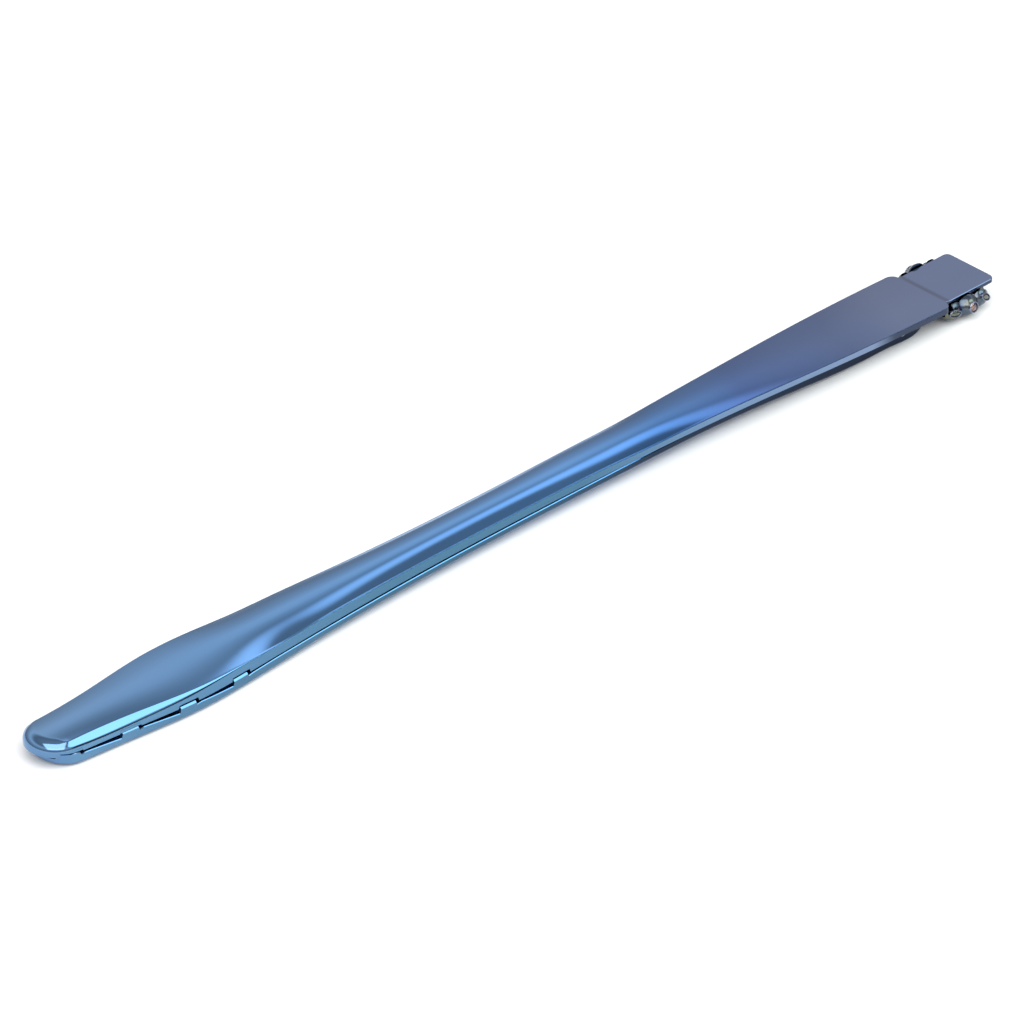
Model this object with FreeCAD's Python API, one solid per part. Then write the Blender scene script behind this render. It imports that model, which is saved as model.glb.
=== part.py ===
import FreeCAD, Part
import math
import os
from FreeCAD import Rotation, Vector

# Long slim spring clip: two formed sheet-metal jaws, a hidden hinge with a torsion spring,
# and a cast flower ornament with set stones on the lower jaw's tail, under the press tab.
# X runs along the clip, tip at -X and press tab at +X. Y is across it. Z is up, and Z = 0 is
# the surface that the clip lies on. The origin is the middle of the footprint. Millimetres.

LENGTH = 130.0
TIP_X = -LENGTH / 2
END_X = LENGTH / 2
SHEET = 0.5                 # thickness of the jaws' sheet
PARTING_GAP = 0.18          # gap between the closed jaws' edges
OUTSIDE = 8.0               # reach of a trimming block, past any part of the clip

# Upper jaw: place along X, half-width, height of the top face's edges, rise of the crown in
# the middle, and size of the bevel between the top face and the side flange.
UPPER_STATIONS = [
    (-65.0, 2.60, 1.75, 0.10, 0.35),
    (-63.4, 2.95, 2.42, 0.20, 0.60),
    (-60.0, 3.30, 2.60, 0.26, 0.72),
    (-54.0, 3.82, 2.62, 0.28, 0.68),
    (-46.5, 4.38, 2.62, 0.32, 0.34),
    (-40.0, 4.08, 2.63, 0.42, 0.10),
    (-31.0, 3.46, 2.64, 0.54, 0.07),
    (-20.0, 2.88, 2.64, 0.60, 0.07),
    (-4.0, 2.58, 2.70, 0.60, 0.07),
    (12.0, 2.78, 2.84, 0.50, 0.07),
    (26.0, 3.28, 2.88, 0.34, 0.07),
    (40.0, 4.02, 2.80, 0.18, 0.07),
    (50.0, 4.33, 2.72, 0.10, 0.07),
    (60.0, 4.38, 2.62, 0.06, 0.07),
]
UPPER_NOSE_RADIUS = 3.2
BODY_END_X = 57.9           # where the wide body steps in to the press tab
BODY_CORNER_RADIUS = 1.05
BODY_BLOCK_HALF_WIDTH = 4.5 # plan block that rounds the body's rear corners
TAB_HALF_WIDTH = 3.45
TAB_CORNER_RADIUS = 0.6
TAB_OVERLAP = 1.5           # run of the tab under the body, in front of the step
TAB_FRONT_Z = 2.60          # top of the tab's hidden front end
CREASE_X = 58.5
CREASE_Z = 2.58             # top of the tab at the crease, its lowest line
TAB_END_Z = 2.68            # top of the tab at its free end

# Lower jaw: place along X, half-width, height of the underside, and how far the walls lean in
# for each millimetre of height.
LOWER_STATIONS = [
    (-64.1, 2.94, 0.16, 0.0),
    (-62.4, 3.06, 0.02, 0.0),
    (-59.0, 3.36, -0.02, 0.0),
    (-54.0, 3.80, -0.03, 0.0),
    (-46.5, 4.36, -0.03, 0.0),
    (-40.0, 4.06, 0.02, 0.0),
    (-30.0, 3.40, 0.36, 0.0),
    (-14.0, 2.72, 0.66, 0.0),
    (2.0, 2.60, 0.86, 0.02),
    (14.0, 2.68, 1.02, 0.10),
    (24.0, 2.74, 1.04, 0.18),
    (32.0, 2.84, 0.78, 0.22),
    (40.0, 3.00, 0.34, 0.22),
    (47.0, 3.00, 0.06, 0.22),
    (51.0, 3.00, 0.04, 0.22),
    (53.7, 3.00, 0.04, 0.22),
    (54.6, 2.90, 0.30, 0.22),
    (55.4, 2.75, 0.72, 0.22),
    (56.2, 2.60, 1.00, 0.22),
]
LOWER_NOSE_RADIUS = 3.0
LOWER_NOSE_TIP_X = -63.8
LOWER_EDGE_RADIUS = 0.30    # rounding between the lower jaw's floor and walls

# The upper jaw's lower edge, as points along the parting line, rear of the teeth.
PARTING_LINE = [(-36.0, 1.34), (-18.0, 1.58), (-2.0, 1.80), (14.0, 2.02), (26.0, 2.14),
                (38.0, 2.12), (48.0, 2.00), (62.0, 1.84)]
PARTING_TIP_Z = 1.30        # the parting line's height along the toothed tip
TOOTH_GAP = 0.26            # gap between the jaws' edges along the toothed tip
# Top of the lower jaw's walls at the rear, falling to the tail behind the hinge
LOWER_WALL_REAR = [(26.0, 1.94), (53.6, 1.92), (56.2, 1.45), (60.0, 1.45)]

FIRST_TOOTH_X = -62.2
TOOTH_PITCH = 7.04
TOOTH_COUNT = 4
TOOTH_HALF_LENGTH = 0.95
TOOTH_RISE = 0.33           # tooth above the lower jaw's edge
TOOTH_FLANK = 0.12          # length of a tooth's sloped side
GULLET_DEPTH = 0.34         # dip of the lower edge in front of each tooth
NOTCH_RISE = 0.38           # notch in the upper jaw over each tooth
NOTCH_CLEARANCE = 0.22      # room along X between tooth and notch

# Hinge
PIVOT_X = 52.0
PIVOT_Z = 1.30
PIN_RADIUS = 0.35
PIN_RUNNING_CLEARANCE = 0.03
PIN_HEAD_RADIUS = 0.50
PIN_HEAD_LENGTH = 0.18
PIN_HEAD_Y = 2.92           # inner face of a pin head, clear of the leaning wall
EAR_OUTER_Y = 2.00
EAR_THICKNESS = 0.40
EAR_RADIUS = 0.64
BRACKET_FRONT_X = 43.8
BRACKET_WEB_END_X = 49.4
BRACKET_WEB_Z = 1.86        # underside of the bracket's web
BRACKET_TOP_Z = 2.50        # inside the upper jaw's sheet, which trims it
EAR_SHOULDER_X = 50.4       # where an ear starts to fall towards the pin
EAR_TOE = (50.8, 0.71)      # lower front corner of the round part of an ear
EAR_HEEL = (45.2, 1.76)     # where an ear's lower edge meets the web
WIRE_RADIUS = 0.13
COIL_RADIUS = 0.60          # from the pin's axis to the middle of the wire
COIL_PITCH = 0.30
COIL_TURNS = 6.5
LOWER_LEG_LENGTH = 1.6
UPPER_LEG_LENGTH = 5.0

# Tail of the lower jaw, which carries the ornament
TAIL_HALF_WIDTH = 2.40
TAIL_START_X = 55.9
TAIL_END_X = 64.2
TAIL_Z = 1.00               # underside of the tail
TAIL_THICKNESS = 0.45

# Ornament: petals around an oval, their centres on these half-axes
FLOWER_X = 60.7
PETAL_COUNT = 10
PETAL_RING_X = 2.90
PETAL_RING_Y = 3.20
PETAL_RING_POWER = 0.75     # below 1 gives the ring squarer corners than an ellipse
PETAL_RADIUS = 1.49
PETAL_HALF_HEIGHT = 1.24
LEFT_PETAL_HALF_HEIGHT = 1.70   # the casting stands higher on its +Y side
PETAL_Z = 1.20
CHANNEL_HALF_WIDTH = 3.62   # clear way between the raised petals for the press tab
FLANGE_RELIEF_X = 58.4      # in front of this the petals stay low, under the body's flange
FLANGE_RELIEF_Z = 1.46
CORE_RADIUS = 3.30
CORE_BOTTOM_Z = 0.42
CENTRE_COLLET_RADIUS = 1.55
CENTRE_STONE_RADIUS = 1.22
CENTRE_STONE_DEPTH = 0.55
COLLET_RIM_Z = 0.24         # lower rim of the centre collet, level with the stone's girdle
COLLET_BACK_Z = 0.95
COLLET_BACK_THICKNESS = 0.15
CLAW_COUNT = 4
CLAW_RADIUS = 0.17
CLAW_RING_RADIUS = 1.30
SIDE_COLLET_RADIUS = 0.62
SIDE_STONE_RADIUS = 0.46
SIDE_PLACES = {             # petal's angle around the flower, way the stone faces, latitude
    "left": (90.0, 90.0, 18.0),
    "right": (-90.0, -90.0, 8.67),
}
OVAL_BEZEL = (0.78, 0.42)   # half-length and half-width of the petal bezels
OVAL_STONE = (0.64, 0.29)
OVAL_SLANT = 20.0           # turn of an oval stone about its own normal, degrees
OVAL_PLACES = {
    "front_left": (126.0, 100.0, 3.0),
    "front_right": (-126.0, -100.0, 3.0),
    "rear_left": (54.0, 76.0, 12.0),
    "rear_right": (-54.0, -76.0, 12.0),
}
SEAT_DEPTH = 0.30           # how deep a collet or bezel is let into its petal
COLLET_STAND = 0.10         # how far it stands out
BEZEL_STAND = 0.07
STONE_DEPTH = 0.27
BEAD_COUNT = 16
BEAD_RADIUS = 0.19
BEAD_RING_RADIUS = 1.80
BEAD_BAND_RADIUS = 1.94
BEAD_Z = 0.32
RIVET_RADIUS = 0.35
RIVET_HEAD_RADIUS = 0.50
RIVET_HEAD_LENGTH = 0.10
RIVET_FOOT_Z = 0.5          # end of a rivet's shank in the casting
RIVET_PLACES = [(58.1, 1.45), (58.1, -1.45), (61.8, 1.85), (61.8, -1.85)]


def polygon_xz(points, half_width):
    """A block whose outline in XZ is a closed run of straight edges."""
    corners = [Vector(x, -half_width, z) for x, z in points]
    outline = Part.makePolygon(corners + corners[:1])
    return Part.Face(outline).extrude(Vector(0, 2 * half_width, 0))


def curve_points(points, count):
    """Points evenly spaced in X on a smooth curve through the given (x, z) points."""
    curve = Part.BSplineCurve()
    curve.interpolate([Vector(x, 0, z) for x, z in points])
    first, last = curve.FirstParameter, curve.LastParameter
    steps = [first + (last - first) * i / count for i in range(count + 1)]
    return [(curve.value(u).x, curve.value(u).z) for u in steps]


def joined(pieces):
    """One solid from overlapping or touching pieces."""
    whole = pieces[0]
    for piece in pieces[1:]:
        whole = whole.fuse(piece)
    return whole.removeSplitter()


def upper_section(x, half_width, edge_z, crown, bevel, inset=0.0):
    """Closed outline across the upper jaw: crowned top, two bevels, two flanges."""
    side = half_width - inset
    top = edge_z - inset
    floor = -OUTSIDE if inset else -1.0
    shoulder = side - bevel
    low_left = Vector(x, -side, floor)
    left = Vector(x, -side, top - bevel)
    top_left = Vector(x, -shoulder, top)
    top_right = Vector(x, shoulder, top)
    right = Vector(x, side, top - bevel)
    low_right = Vector(x, side, floor)
    crown_arc = Part.Arc(top_left, Vector(x, 0, top + crown), top_right).toShape()
    return Part.Wire([
        Part.makeLine(low_left, left),
        Part.makeLine(left, top_left),
        crown_arc,
        Part.makeLine(top_right, right),
        Part.makeLine(right, low_right),
        Part.makeLine(low_right, low_left),
    ])


def lower_section(x, half_width, bottom_z, lean, inset=0.0):
    """Closed outline across the lower jaw: flat floor, rounded corners, walls."""
    side = half_width - inset
    bottom = bottom_z + inset
    radius = max(LOWER_EDGE_RADIUS - inset, 0.08)
    ceiling = OUTSIDE if inset else OUTSIDE - 1.0
    tuck = radius * (1 - math.sqrt(0.5))
    top_side = side - lean * (ceiling - bottom - radius)
    left = Vector(x, -side, bottom + radius)
    right = Vector(x, side, bottom + radius)
    floor_left = Vector(x, -side + radius, bottom)
    floor_right = Vector(x, side - radius, bottom)
    top_left = Vector(x, -top_side, ceiling)
    top_right = Vector(x, top_side, ceiling)
    left_arc = Part.Arc(left, Vector(x, -side + tuck, bottom + tuck), floor_left).toShape()
    right_arc = Part.Arc(floor_right, Vector(x, side - tuck, bottom + tuck), right).toShape()
    return Part.Wire([
        left_arc,
        Part.makeLine(floor_left, floor_right),
        right_arc,
        Part.makeLine(right, top_right),
        Part.makeLine(top_right, top_left),
        Part.makeLine(top_left, left),
    ])


def nose_block(tip_x, radius, rear_x):
    """Plan of a rounded nose, straight-sided and wide open behind it."""
    centre_x = tip_x + radius
    disc = Part.makeCylinder(radius, 4 * OUTSIDE, Vector(centre_x, 0, -2 * OUTSIDE))
    behind = Part.makeBox(rear_x - centre_x, 2 * OUTSIDE, 4 * OUTSIDE,
                          Vector(centre_x, -OUTSIDE, -2 * OUTSIDE))
    return disc.fuse(behind)


def tooth_places():
    return [FIRST_TOOTH_X + i * TOOTH_PITCH for i in range(TOOTH_COUNT)]


def upper_edge():
    """The upper jaw's lower edge from tip to rear, with a notch over each tooth."""
    edge = [(TIP_X - 2, PARTING_TIP_Z)]
    reach = TOOTH_HALF_LENGTH + NOTCH_CLEARANCE
    for x in tooth_places():
        edge += [(x - reach - TOOTH_FLANK, PARTING_TIP_Z),
                 (x - reach, PARTING_TIP_Z + NOTCH_RISE),
                 (x + reach, PARTING_TIP_Z + NOTCH_RISE),
                 (x + reach + TOOTH_FLANK, PARTING_TIP_Z)]
    return edge + curve_points(PARTING_LINE, 24)


def lower_edge():
    """The top of the lower jaw's walls: sloped gullets, raised teeth, then the parting line."""
    level = PARTING_TIP_Z - TOOTH_GAP
    edge = [(TIP_X - 2, level)]
    for x in tooth_places():
        edge += [(x - TOOTH_HALF_LENGTH - TOOTH_FLANK, level - GULLET_DEPTH),
                 (x - TOOTH_HALF_LENGTH, level + TOOTH_RISE),
                 (x + TOOTH_HALF_LENGTH, level + TOOTH_RISE),
                 (x + TOOTH_HALF_LENGTH + TOOTH_FLANK, level - GULLET_DEPTH / 3),
                 (x + TOOTH_HALF_LENGTH + 6 * TOOTH_FLANK, level)]
    behind = [(x, z - PARTING_GAP) for x, z in curve_points(PARTING_LINE, 24)]
    return edge + [point for point in behind if point[0] < LOWER_WALL_REAR[0][0]] + LOWER_WALL_REAR


def press_tab():
    """Flat tab behind the crease, with rounded corners, run a little way under the body."""
    start_x = BODY_END_X - TAB_OVERLAP
    top = [(start_x, TAB_FRONT_Z), (CREASE_X, CREASE_Z), (END_X, TAB_END_Z)]
    underside = [(x, z - SHEET) for x, z in reversed(top)]
    strip = polygon_xz(top + underside, TAB_HALF_WIDTH)
    corners = [edge for edge in strip.Edges
               if edge.BoundBox.XMin > END_X - 0.01 and edge.BoundBox.YLength < 0.01]
    return strip.makeFillet(TAB_CORNER_RADIUS, corners)


def body_rear_block():
    """Plan block that ends the wide body with rounded corners."""
    start_x = TIP_X - OUTSIDE
    block = Part.makeBox(BODY_END_X - start_x, 2 * BODY_BLOCK_HALF_WIDTH, 4 * OUTSIDE,
                         Vector(start_x, -BODY_BLOCK_HALF_WIDTH, -2 * OUTSIDE))
    corners = [edge for edge in block.Edges
               if edge.BoundBox.XMin > BODY_END_X - 0.01 and edge.BoundBox.ZLength > OUTSIDE]
    return block.makeFillet(BODY_CORNER_RADIUS, corners)


def upper_jaw():
    outer = Part.makeLoft([upper_section(*station) for station in UPPER_STATIONS], True, False)
    inner = Part.makeLoft([upper_section(*station, inset=SHEET) for station in UPPER_STATIONS],
                          True, False)
    inner = inner.common(nose_block(TIP_X + SHEET, UPPER_NOSE_RADIUS - SHEET, END_X))
    shell = outer.common(nose_block(TIP_X, UPPER_NOSE_RADIUS, END_X)).cut(inner)
    above_edge = polygon_xz(upper_edge() + [(END_X, OUTSIDE), (TIP_X - 2, OUTSIDE)], OUTSIDE)
    shell = shell.common(above_edge).common(body_rear_block())
    return joined([shell, press_tab()])


def tail_strip():
    """Flat strip behind the lower jaw's floor, under the press tab."""
    return Part.makeBox(TAIL_END_X - TAIL_START_X, 2 * TAIL_HALF_WIDTH, TAIL_THICKNESS,
                        Vector(TAIL_START_X, -TAIL_HALF_WIDTH, TAIL_Z))


def cross_rod(radius, start_y, end_y):
    """Round rod on the hinge's axis."""
    return Part.makeCylinder(radius, end_y - start_y, Vector(PIVOT_X, start_y, PIVOT_Z),
                             Vector(0, 1, 0))


def pin_hole(radius):
    return cross_rod(radius, -OUTSIDE, OUTSIDE)


def lower_jaw():
    outer = Part.makeLoft([lower_section(*station) for station in LOWER_STATIONS], True, False)
    inner = Part.makeLoft([lower_section(*station, inset=SHEET) for station in LOWER_STATIONS],
                          True, False)
    inner = inner.common(nose_block(LOWER_NOSE_TIP_X + SHEET, LOWER_NOSE_RADIUS - SHEET, END_X))
    shell = outer.common(nose_block(LOWER_NOSE_TIP_X, LOWER_NOSE_RADIUS, END_X)).cut(inner)
    below_edge = polygon_xz(lower_edge() + [(60.0, 0.0), (TIP_X - 2, 0.0)], OUTSIDE)
    shell = shell.common(below_edge)
    jaw = joined([shell, tail_strip()]).cut(pin_hole(PIN_RADIUS))
    for x, y in RIVET_PLACES:
        jaw = jaw.cut(Part.makeCylinder(RIVET_RADIUS, OUTSIDE, Vector(x, y, 0)))
    return jaw


def hinge_bracket(upper):
    """Saddle welded under the upper jaw, with two ears down to the pin."""
    outline = [(BRACKET_FRONT_X, BRACKET_WEB_Z), (BRACKET_FRONT_X, BRACKET_TOP_Z),
               (EAR_SHOULDER_X, BRACKET_TOP_Z), (PIVOT_X, PIVOT_Z + EAR_RADIUS),
               (PIVOT_X, PIVOT_Z - EAR_RADIUS), EAR_TOE, EAR_HEEL]
    ears = polygon_xz(outline, EAR_OUTER_Y)
    ears = ears.fuse(cross_rod(EAR_RADIUS, -EAR_OUTER_Y, EAR_OUTER_Y))
    between = 2 * (EAR_OUTER_Y - EAR_THICKNESS)
    ears = ears.cut(Part.makeBox(BRACKET_WEB_END_X - BRACKET_FRONT_X + 2, between, BRACKET_WEB_Z,
                                 Vector(BRACKET_FRONT_X - 2, -between / 2, 0)))
    ears = ears.cut(Part.makeBox(2 * OUTSIDE, between, OUTSIDE,
                                 Vector(BRACKET_WEB_END_X, -between / 2, 0)))
    return ears.cut(pin_hole(PIN_RADIUS + PIN_RUNNING_CLEARANCE)).cut(upper)


def hinge_pin():
    end_y = PIN_HEAD_Y + PIN_HEAD_LENGTH
    shank = cross_rod(PIN_RADIUS, -PIN_HEAD_Y, PIN_HEAD_Y)
    heads = [cross_rod(PIN_HEAD_RADIUS, -end_y, -PIN_HEAD_Y),
             cross_rod(PIN_HEAD_RADIUS, PIN_HEAD_Y, end_y)]
    return joined([shank] + heads)


def torsion_spring():
    """Coil on the pin, with one straight leg on the lower floor and one under the press tab."""
    width = COIL_PITCH * COIL_TURNS
    rise = COIL_PITCH / (2 * math.pi)
    start = Vector(COIL_RADIUS, 0, 0)
    start_way = Vector(0, COIL_RADIUS, rise).normalize()
    end_turn = 2 * math.pi * COIL_TURNS
    across = COIL_RADIUS * math.cos(end_turn)
    along = COIL_RADIUS * math.sin(end_turn)
    end = Vector(across, along, width)
    end_way = Vector(-along, across, rise).normalize()
    leg_tip = start - start_way * LOWER_LEG_LENGTH
    turns = Part.makeHelix(COIL_PITCH, width, COIL_RADIUS)
    path = Part.Wire([Part.makeLine(leg_tip, start)] + turns.Edges
                     + [Part.makeLine(end, end + end_way * UPPER_LEG_LENGTH)])
    profile = Part.Wire(Part.makeCircle(WIRE_RADIUS, leg_tip, start_way))
    spring = path.makePipeShell([profile], True, True)
    spring.rotate(Vector(0, 0, 0), Vector(0, 0, 1), 90)
    spring.rotate(Vector(0, 0, 0), Vector(1, 0, 0), -90)
    spring.translate(Vector(PIVOT_X, -width / 2, PIVOT_Z))
    return spring


def pointed(direction):
    """The rotation that turns +Z towards a direction."""
    return Rotation(Vector(0, 0, 1), direction)


def seated(shape, place, direction, slant=0.0):
    """A shape built at the origin along +Z, moved to its seat."""
    result = shape.copy()
    result.rotate(Vector(0, 0, 0), Vector(0, 0, 1), slant)
    turn = FreeCAD.Placement(place, pointed(direction))
    result.Placement = turn.multiply(result.Placement)
    return result


def petal_angles():
    return [90.0 + 360.0 / PETAL_COUNT * i for i in range(PETAL_COUNT)]


def squared(value):
    """A sine or cosine pushed outwards, for the ring's squarer corners."""
    return math.copysign(abs(value) ** PETAL_RING_POWER, value)


def petal_centre(angle):
    turn = math.radians(angle)
    return Vector(FLOWER_X + PETAL_RING_X * squared(math.cos(turn)),
                  PETAL_RING_Y * squared(math.sin(turn)), PETAL_Z)


def petal_half_height(angle):
    return LEFT_PETAL_HALF_HEIGHT if math.sin(math.radians(angle)) > 0 else PETAL_HALF_HEIGHT


def petal(angle):
    """One flattened egg-shaped lobe of the flower."""
    centre = petal_centre(angle)
    top = Vector(0, 0, petal_half_height(angle))
    long_first = top.z > PETAL_RADIUS
    reach = Vector(PETAL_RADIUS, 0, 0)
    ellipse = Part.Ellipse(centre + (top if long_first else reach),
                           centre + (reach if long_first else top), centre)
    start = 0 if long_first else -math.pi / 2
    side = ellipse.toShape(start, start + math.pi)
    axis = Part.makeLine(side.Vertexes[-1].Point, side.Vertexes[0].Point)
    return Part.Face(Part.Wire([side, axis])).revolve(centre, Vector(0, 0, 1), 360)


def petal_seat(angle, facing, latitude_degrees):
    """Point and outward direction on a petal's outer side."""
    turn = math.radians(facing)
    latitude = math.radians(latitude_degrees)
    half_height = petal_half_height(angle)
    outward = Vector(math.cos(turn), math.sin(turn), 0)
    place = petal_centre(angle) + outward * (PETAL_RADIUS * math.cos(latitude))
    place.z += half_height * math.sin(latitude)
    normal = outward * (math.cos(latitude) / PETAL_RADIUS)
    normal.z = math.sin(latitude) / half_height
    return place, normal.normalize()


def tube(outer, inner, low, high):
    height = high - low
    return Part.makeCylinder(outer, height, Vector(0, 0, low)).cut(
        Part.makeCylinder(inner, height, Vector(0, 0, low)))


def oval_prism(half_length, half_width, low, high):
    outline = Part.Ellipse(Vector(0, 0, low), half_length, half_width).toShape()
    return Part.Face(Part.Wire(outline)).extrude(Vector(0, 0, high - low))


def faceted_ring(sides, half_length, half_width, height):
    """Closed outline with straight sides on an oval."""
    corners = [Vector(half_length * math.cos(2 * math.pi * i / sides),
                      half_width * math.sin(2 * math.pi * i / sides), height)
               for i in range(sides)]
    return Part.makePolygon(corners + corners[:1])


def faceted_stone(sides, half_length, half_width, depth):
    """Cut stone with a flat table, sloped crown, upright girdle and tapered back."""
    levels = [(0.25, -depth), (1.0, -0.22 * depth), (1.0, -0.10 * depth), (0.62, 0.34 * depth)]
    rings = [faceted_ring(sides, half_length * size, half_width * size, height)
             for size, height in levels]
    return Part.makeLoft(rings, True, True)


def side_collet(place):
    collet = tube(SIDE_COLLET_RADIUS, SIDE_STONE_RADIUS, -SEAT_DEPTH, COLLET_STAND)
    return seated(collet, *petal_seat(*place))


def side_stone(place):
    stone = faceted_stone(8, SIDE_STONE_RADIUS, SIDE_STONE_RADIUS, STONE_DEPTH)
    return seated(stone, *petal_seat(*place))


def oval_seated(shape, angle, facing, latitude):
    """An oval piece on its petal, slanted the mirrored way on the other side."""
    slant = OVAL_SLANT if angle > 0 else -OVAL_SLANT
    return seated(shape, *petal_seat(angle, facing, latitude), slant)


def oval_bezel(place):
    ring = oval_prism(*OVAL_BEZEL, -SEAT_DEPTH, BEZEL_STAND)
    ring = ring.cut(oval_prism(*OVAL_STONE, -SEAT_DEPTH, BEZEL_STAND))
    return oval_seated(ring, *place)


def oval_stone(place):
    return oval_seated(faceted_stone(10, *OVAL_STONE, STONE_DEPTH), *place)


def stone_pockets():
    """Bores in the casting for the collets and bezels."""
    pockets = [Part.makeCylinder(CENTRE_COLLET_RADIUS, OUTSIDE,
                                 Vector(FLOWER_X, 0, COLLET_BACK_Z), Vector(0, 0, -1))]
    for place in SIDE_PLACES.values():
        pocket = Part.makeCylinder(SIDE_COLLET_RADIUS, 1.0 + SEAT_DEPTH, Vector(0, 0, -SEAT_DEPTH))
        pockets.append(seated(pocket, *petal_seat(*place)))
    for place in OVAL_PLACES.values():
        pockets.append(oval_seated(oval_prism(*OVAL_BEZEL, -SEAT_DEPTH, 1.0), *place))
    return pockets


def ornament_base():
    """Cast flower: petals around a core, hollowed for the tail, the tab and the stones."""
    core = Part.makeCylinder(CORE_RADIUS, TAIL_Z - CORE_BOTTOM_Z, Vector(FLOWER_X, 0, CORE_BOTTOM_Z))
    flower = joined([core] + [petal(angle) for angle in petal_angles()])
    channel = Part.makeBox(4 * OUTSIDE, 2 * CHANNEL_HALF_WIDTH, OUTSIDE,
                           Vector(FLOWER_X - 2 * OUTSIDE, -CHANNEL_HALF_WIDTH, TAIL_Z))
    relief = Part.makeBox(2 * OUTSIDE, 2 * OUTSIDE, OUTSIDE,
                          Vector(FLANGE_RELIEF_X - 2 * OUTSIDE, -OUTSIDE, FLANGE_RELIEF_Z))
    below = Part.makeBox(4 * OUTSIDE, 2 * OUTSIDE, OUTSIDE,
                         Vector(FLOWER_X - 2 * OUTSIDE, -OUTSIDE, -OUTSIDE))
    flower = flower.cut(channel).cut(relief).cut(below)
    for pocket in stone_pockets():
        flower = flower.cut(pocket)
    for x, y in RIVET_PLACES:
        flower = flower.cut(Part.makeCylinder(RIVET_RADIUS, TAIL_Z, Vector(x, y, RIVET_FOOT_Z)))
    flower = flower.cut(bead_ring())
    return max(flower.Solids, key=lambda solid: solid.Volume)


def centre_collet():
    """Ring with four claws that holds the centre stone from below."""
    ring = tube(CENTRE_COLLET_RADIUS, CENTRE_STONE_RADIUS, COLLET_RIM_Z, COLLET_BACK_Z)
    back = Part.makeCylinder(CENTRE_COLLET_RADIUS, COLLET_BACK_THICKNESS,
                             Vector(0, 0, COLLET_BACK_Z - COLLET_BACK_THICKNESS))
    claws = []
    for i in range(CLAW_COUNT):
        turn = 2 * math.pi * (i + 0.5) / CLAW_COUNT
        place = Vector(math.cos(turn), math.sin(turn), 0) * CLAW_RING_RADIUS
        claws.append(Part.makeSphere(CLAW_RADIUS, place + Vector(0, 0, COLLET_RIM_Z)))
    collet = joined([ring, back] + claws)
    collet.translate(Vector(FLOWER_X, 0, 0))
    return collet.cut(centre_stone())


def centre_stone():
    """Large cut stone, table down."""
    stone = faceted_stone(12, CENTRE_STONE_RADIUS, CENTRE_STONE_RADIUS, CENTRE_STONE_DEPTH)
    stone.rotate(Vector(0, 0, 0), Vector(1, 0, 0), 180)
    stone.translate(Vector(FLOWER_X, 0, COLLET_RIM_Z))
    return stone


def bead_ring():
    """Ring of small beads around the centre collet, on a thin band."""
    band = tube(BEAD_BAND_RADIUS, CENTRE_COLLET_RADIUS, BEAD_Z, CORE_BOTTOM_Z)
    beads = []
    for i in range(BEAD_COUNT):
        turn = 2 * math.pi * i / BEAD_COUNT
        place = Vector(math.cos(turn), math.sin(turn), 0) * BEAD_RING_RADIUS
        beads.append(Part.makeSphere(BEAD_RADIUS, place + Vector(0, 0, BEAD_Z)))
    ring = joined([band] + beads)
    ring.translate(Vector(FLOWER_X, 0, 0))
    below_core = Part.makeBox(OUTSIDE, OUTSIDE, CORE_BOTTOM_Z,
                              Vector(FLOWER_X - OUTSIDE / 2, -OUTSIDE / 2, 0))
    return ring.common(below_core).cut(centre_collet()).cut(centre_stone())


def ornament_rivets():
    rivets = []
    top = TAIL_Z + TAIL_THICKNESS
    for x, y in RIVET_PLACES:
        shank = Part.makeCylinder(RIVET_RADIUS, top - RIVET_FOOT_Z, Vector(x, y, RIVET_FOOT_Z))
        head = Part.makeCylinder(RIVET_HEAD_RADIUS, RIVET_HEAD_LENGTH, Vector(x, y, top))
        rivets.append(joined([shank, head]))
    return Part.makeCompound(rivets)


def main():
    os.makedirs("parts", exist_ok=True)
    upper = upper_jaw()
    parts = {
        "upper_jaw": upper,
        "lower_jaw": lower_jaw(),
        "hinge_bracket": hinge_bracket(upper),
        "hinge_pin": hinge_pin(),
        "torsion_spring": torsion_spring(),
        "ornament_base": ornament_base(),
        "ornament_rivets": ornament_rivets(),
        "centre_collet": centre_collet(),
        "centre_stone": centre_stone(),
        "bead_ring": bead_ring(),
    }
    for side, place in SIDE_PLACES.items():
        parts["side_collet_" + side] = side_collet(place)
        parts["side_stone_" + side] = side_stone(place)
    for corner, place in OVAL_PLACES.items():
        parts["oval_bezel_" + corner] = oval_bezel(place)
        parts["oval_stone_" + corner] = oval_stone(place)
    for name, shape in parts.items():
        shape.exportStep(os.path.join("parts", name + ".step"))
        box = shape.BoundBox
        print("%-26s solids %d valid %s volume %8.3f  x %.2f..%.2f y %.2f..%.2f z %.2f..%.2f" % (
            name, len(shape.Solids), shape.isValid(), shape.Volume,
            box.XMin, box.XMax, box.YMin, box.YMax, box.ZMin, box.ZMax))


main()
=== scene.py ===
import math

import bmesh
import bpy
import numpy as np
from mathutils import Matrix, Vector


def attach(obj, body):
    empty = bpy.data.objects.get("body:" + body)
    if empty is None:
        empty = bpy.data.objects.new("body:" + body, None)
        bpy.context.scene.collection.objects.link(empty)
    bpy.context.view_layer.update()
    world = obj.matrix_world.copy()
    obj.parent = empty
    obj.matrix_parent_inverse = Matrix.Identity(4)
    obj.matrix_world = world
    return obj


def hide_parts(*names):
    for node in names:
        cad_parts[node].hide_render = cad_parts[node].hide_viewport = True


# Long slim spring clip in mirror-blue sheet metal. The jaws are remade here as fine meshes with
# rounded edges, because a mirror finish shows every facet. The pin, rivets, cast flower, stones
# and settings are remade with their detail; the bracket and the spring keep their CAD meshes.
# Lengths in the tables below are in millimetres, in the frame's own axes; MM turns them to metres.

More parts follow.
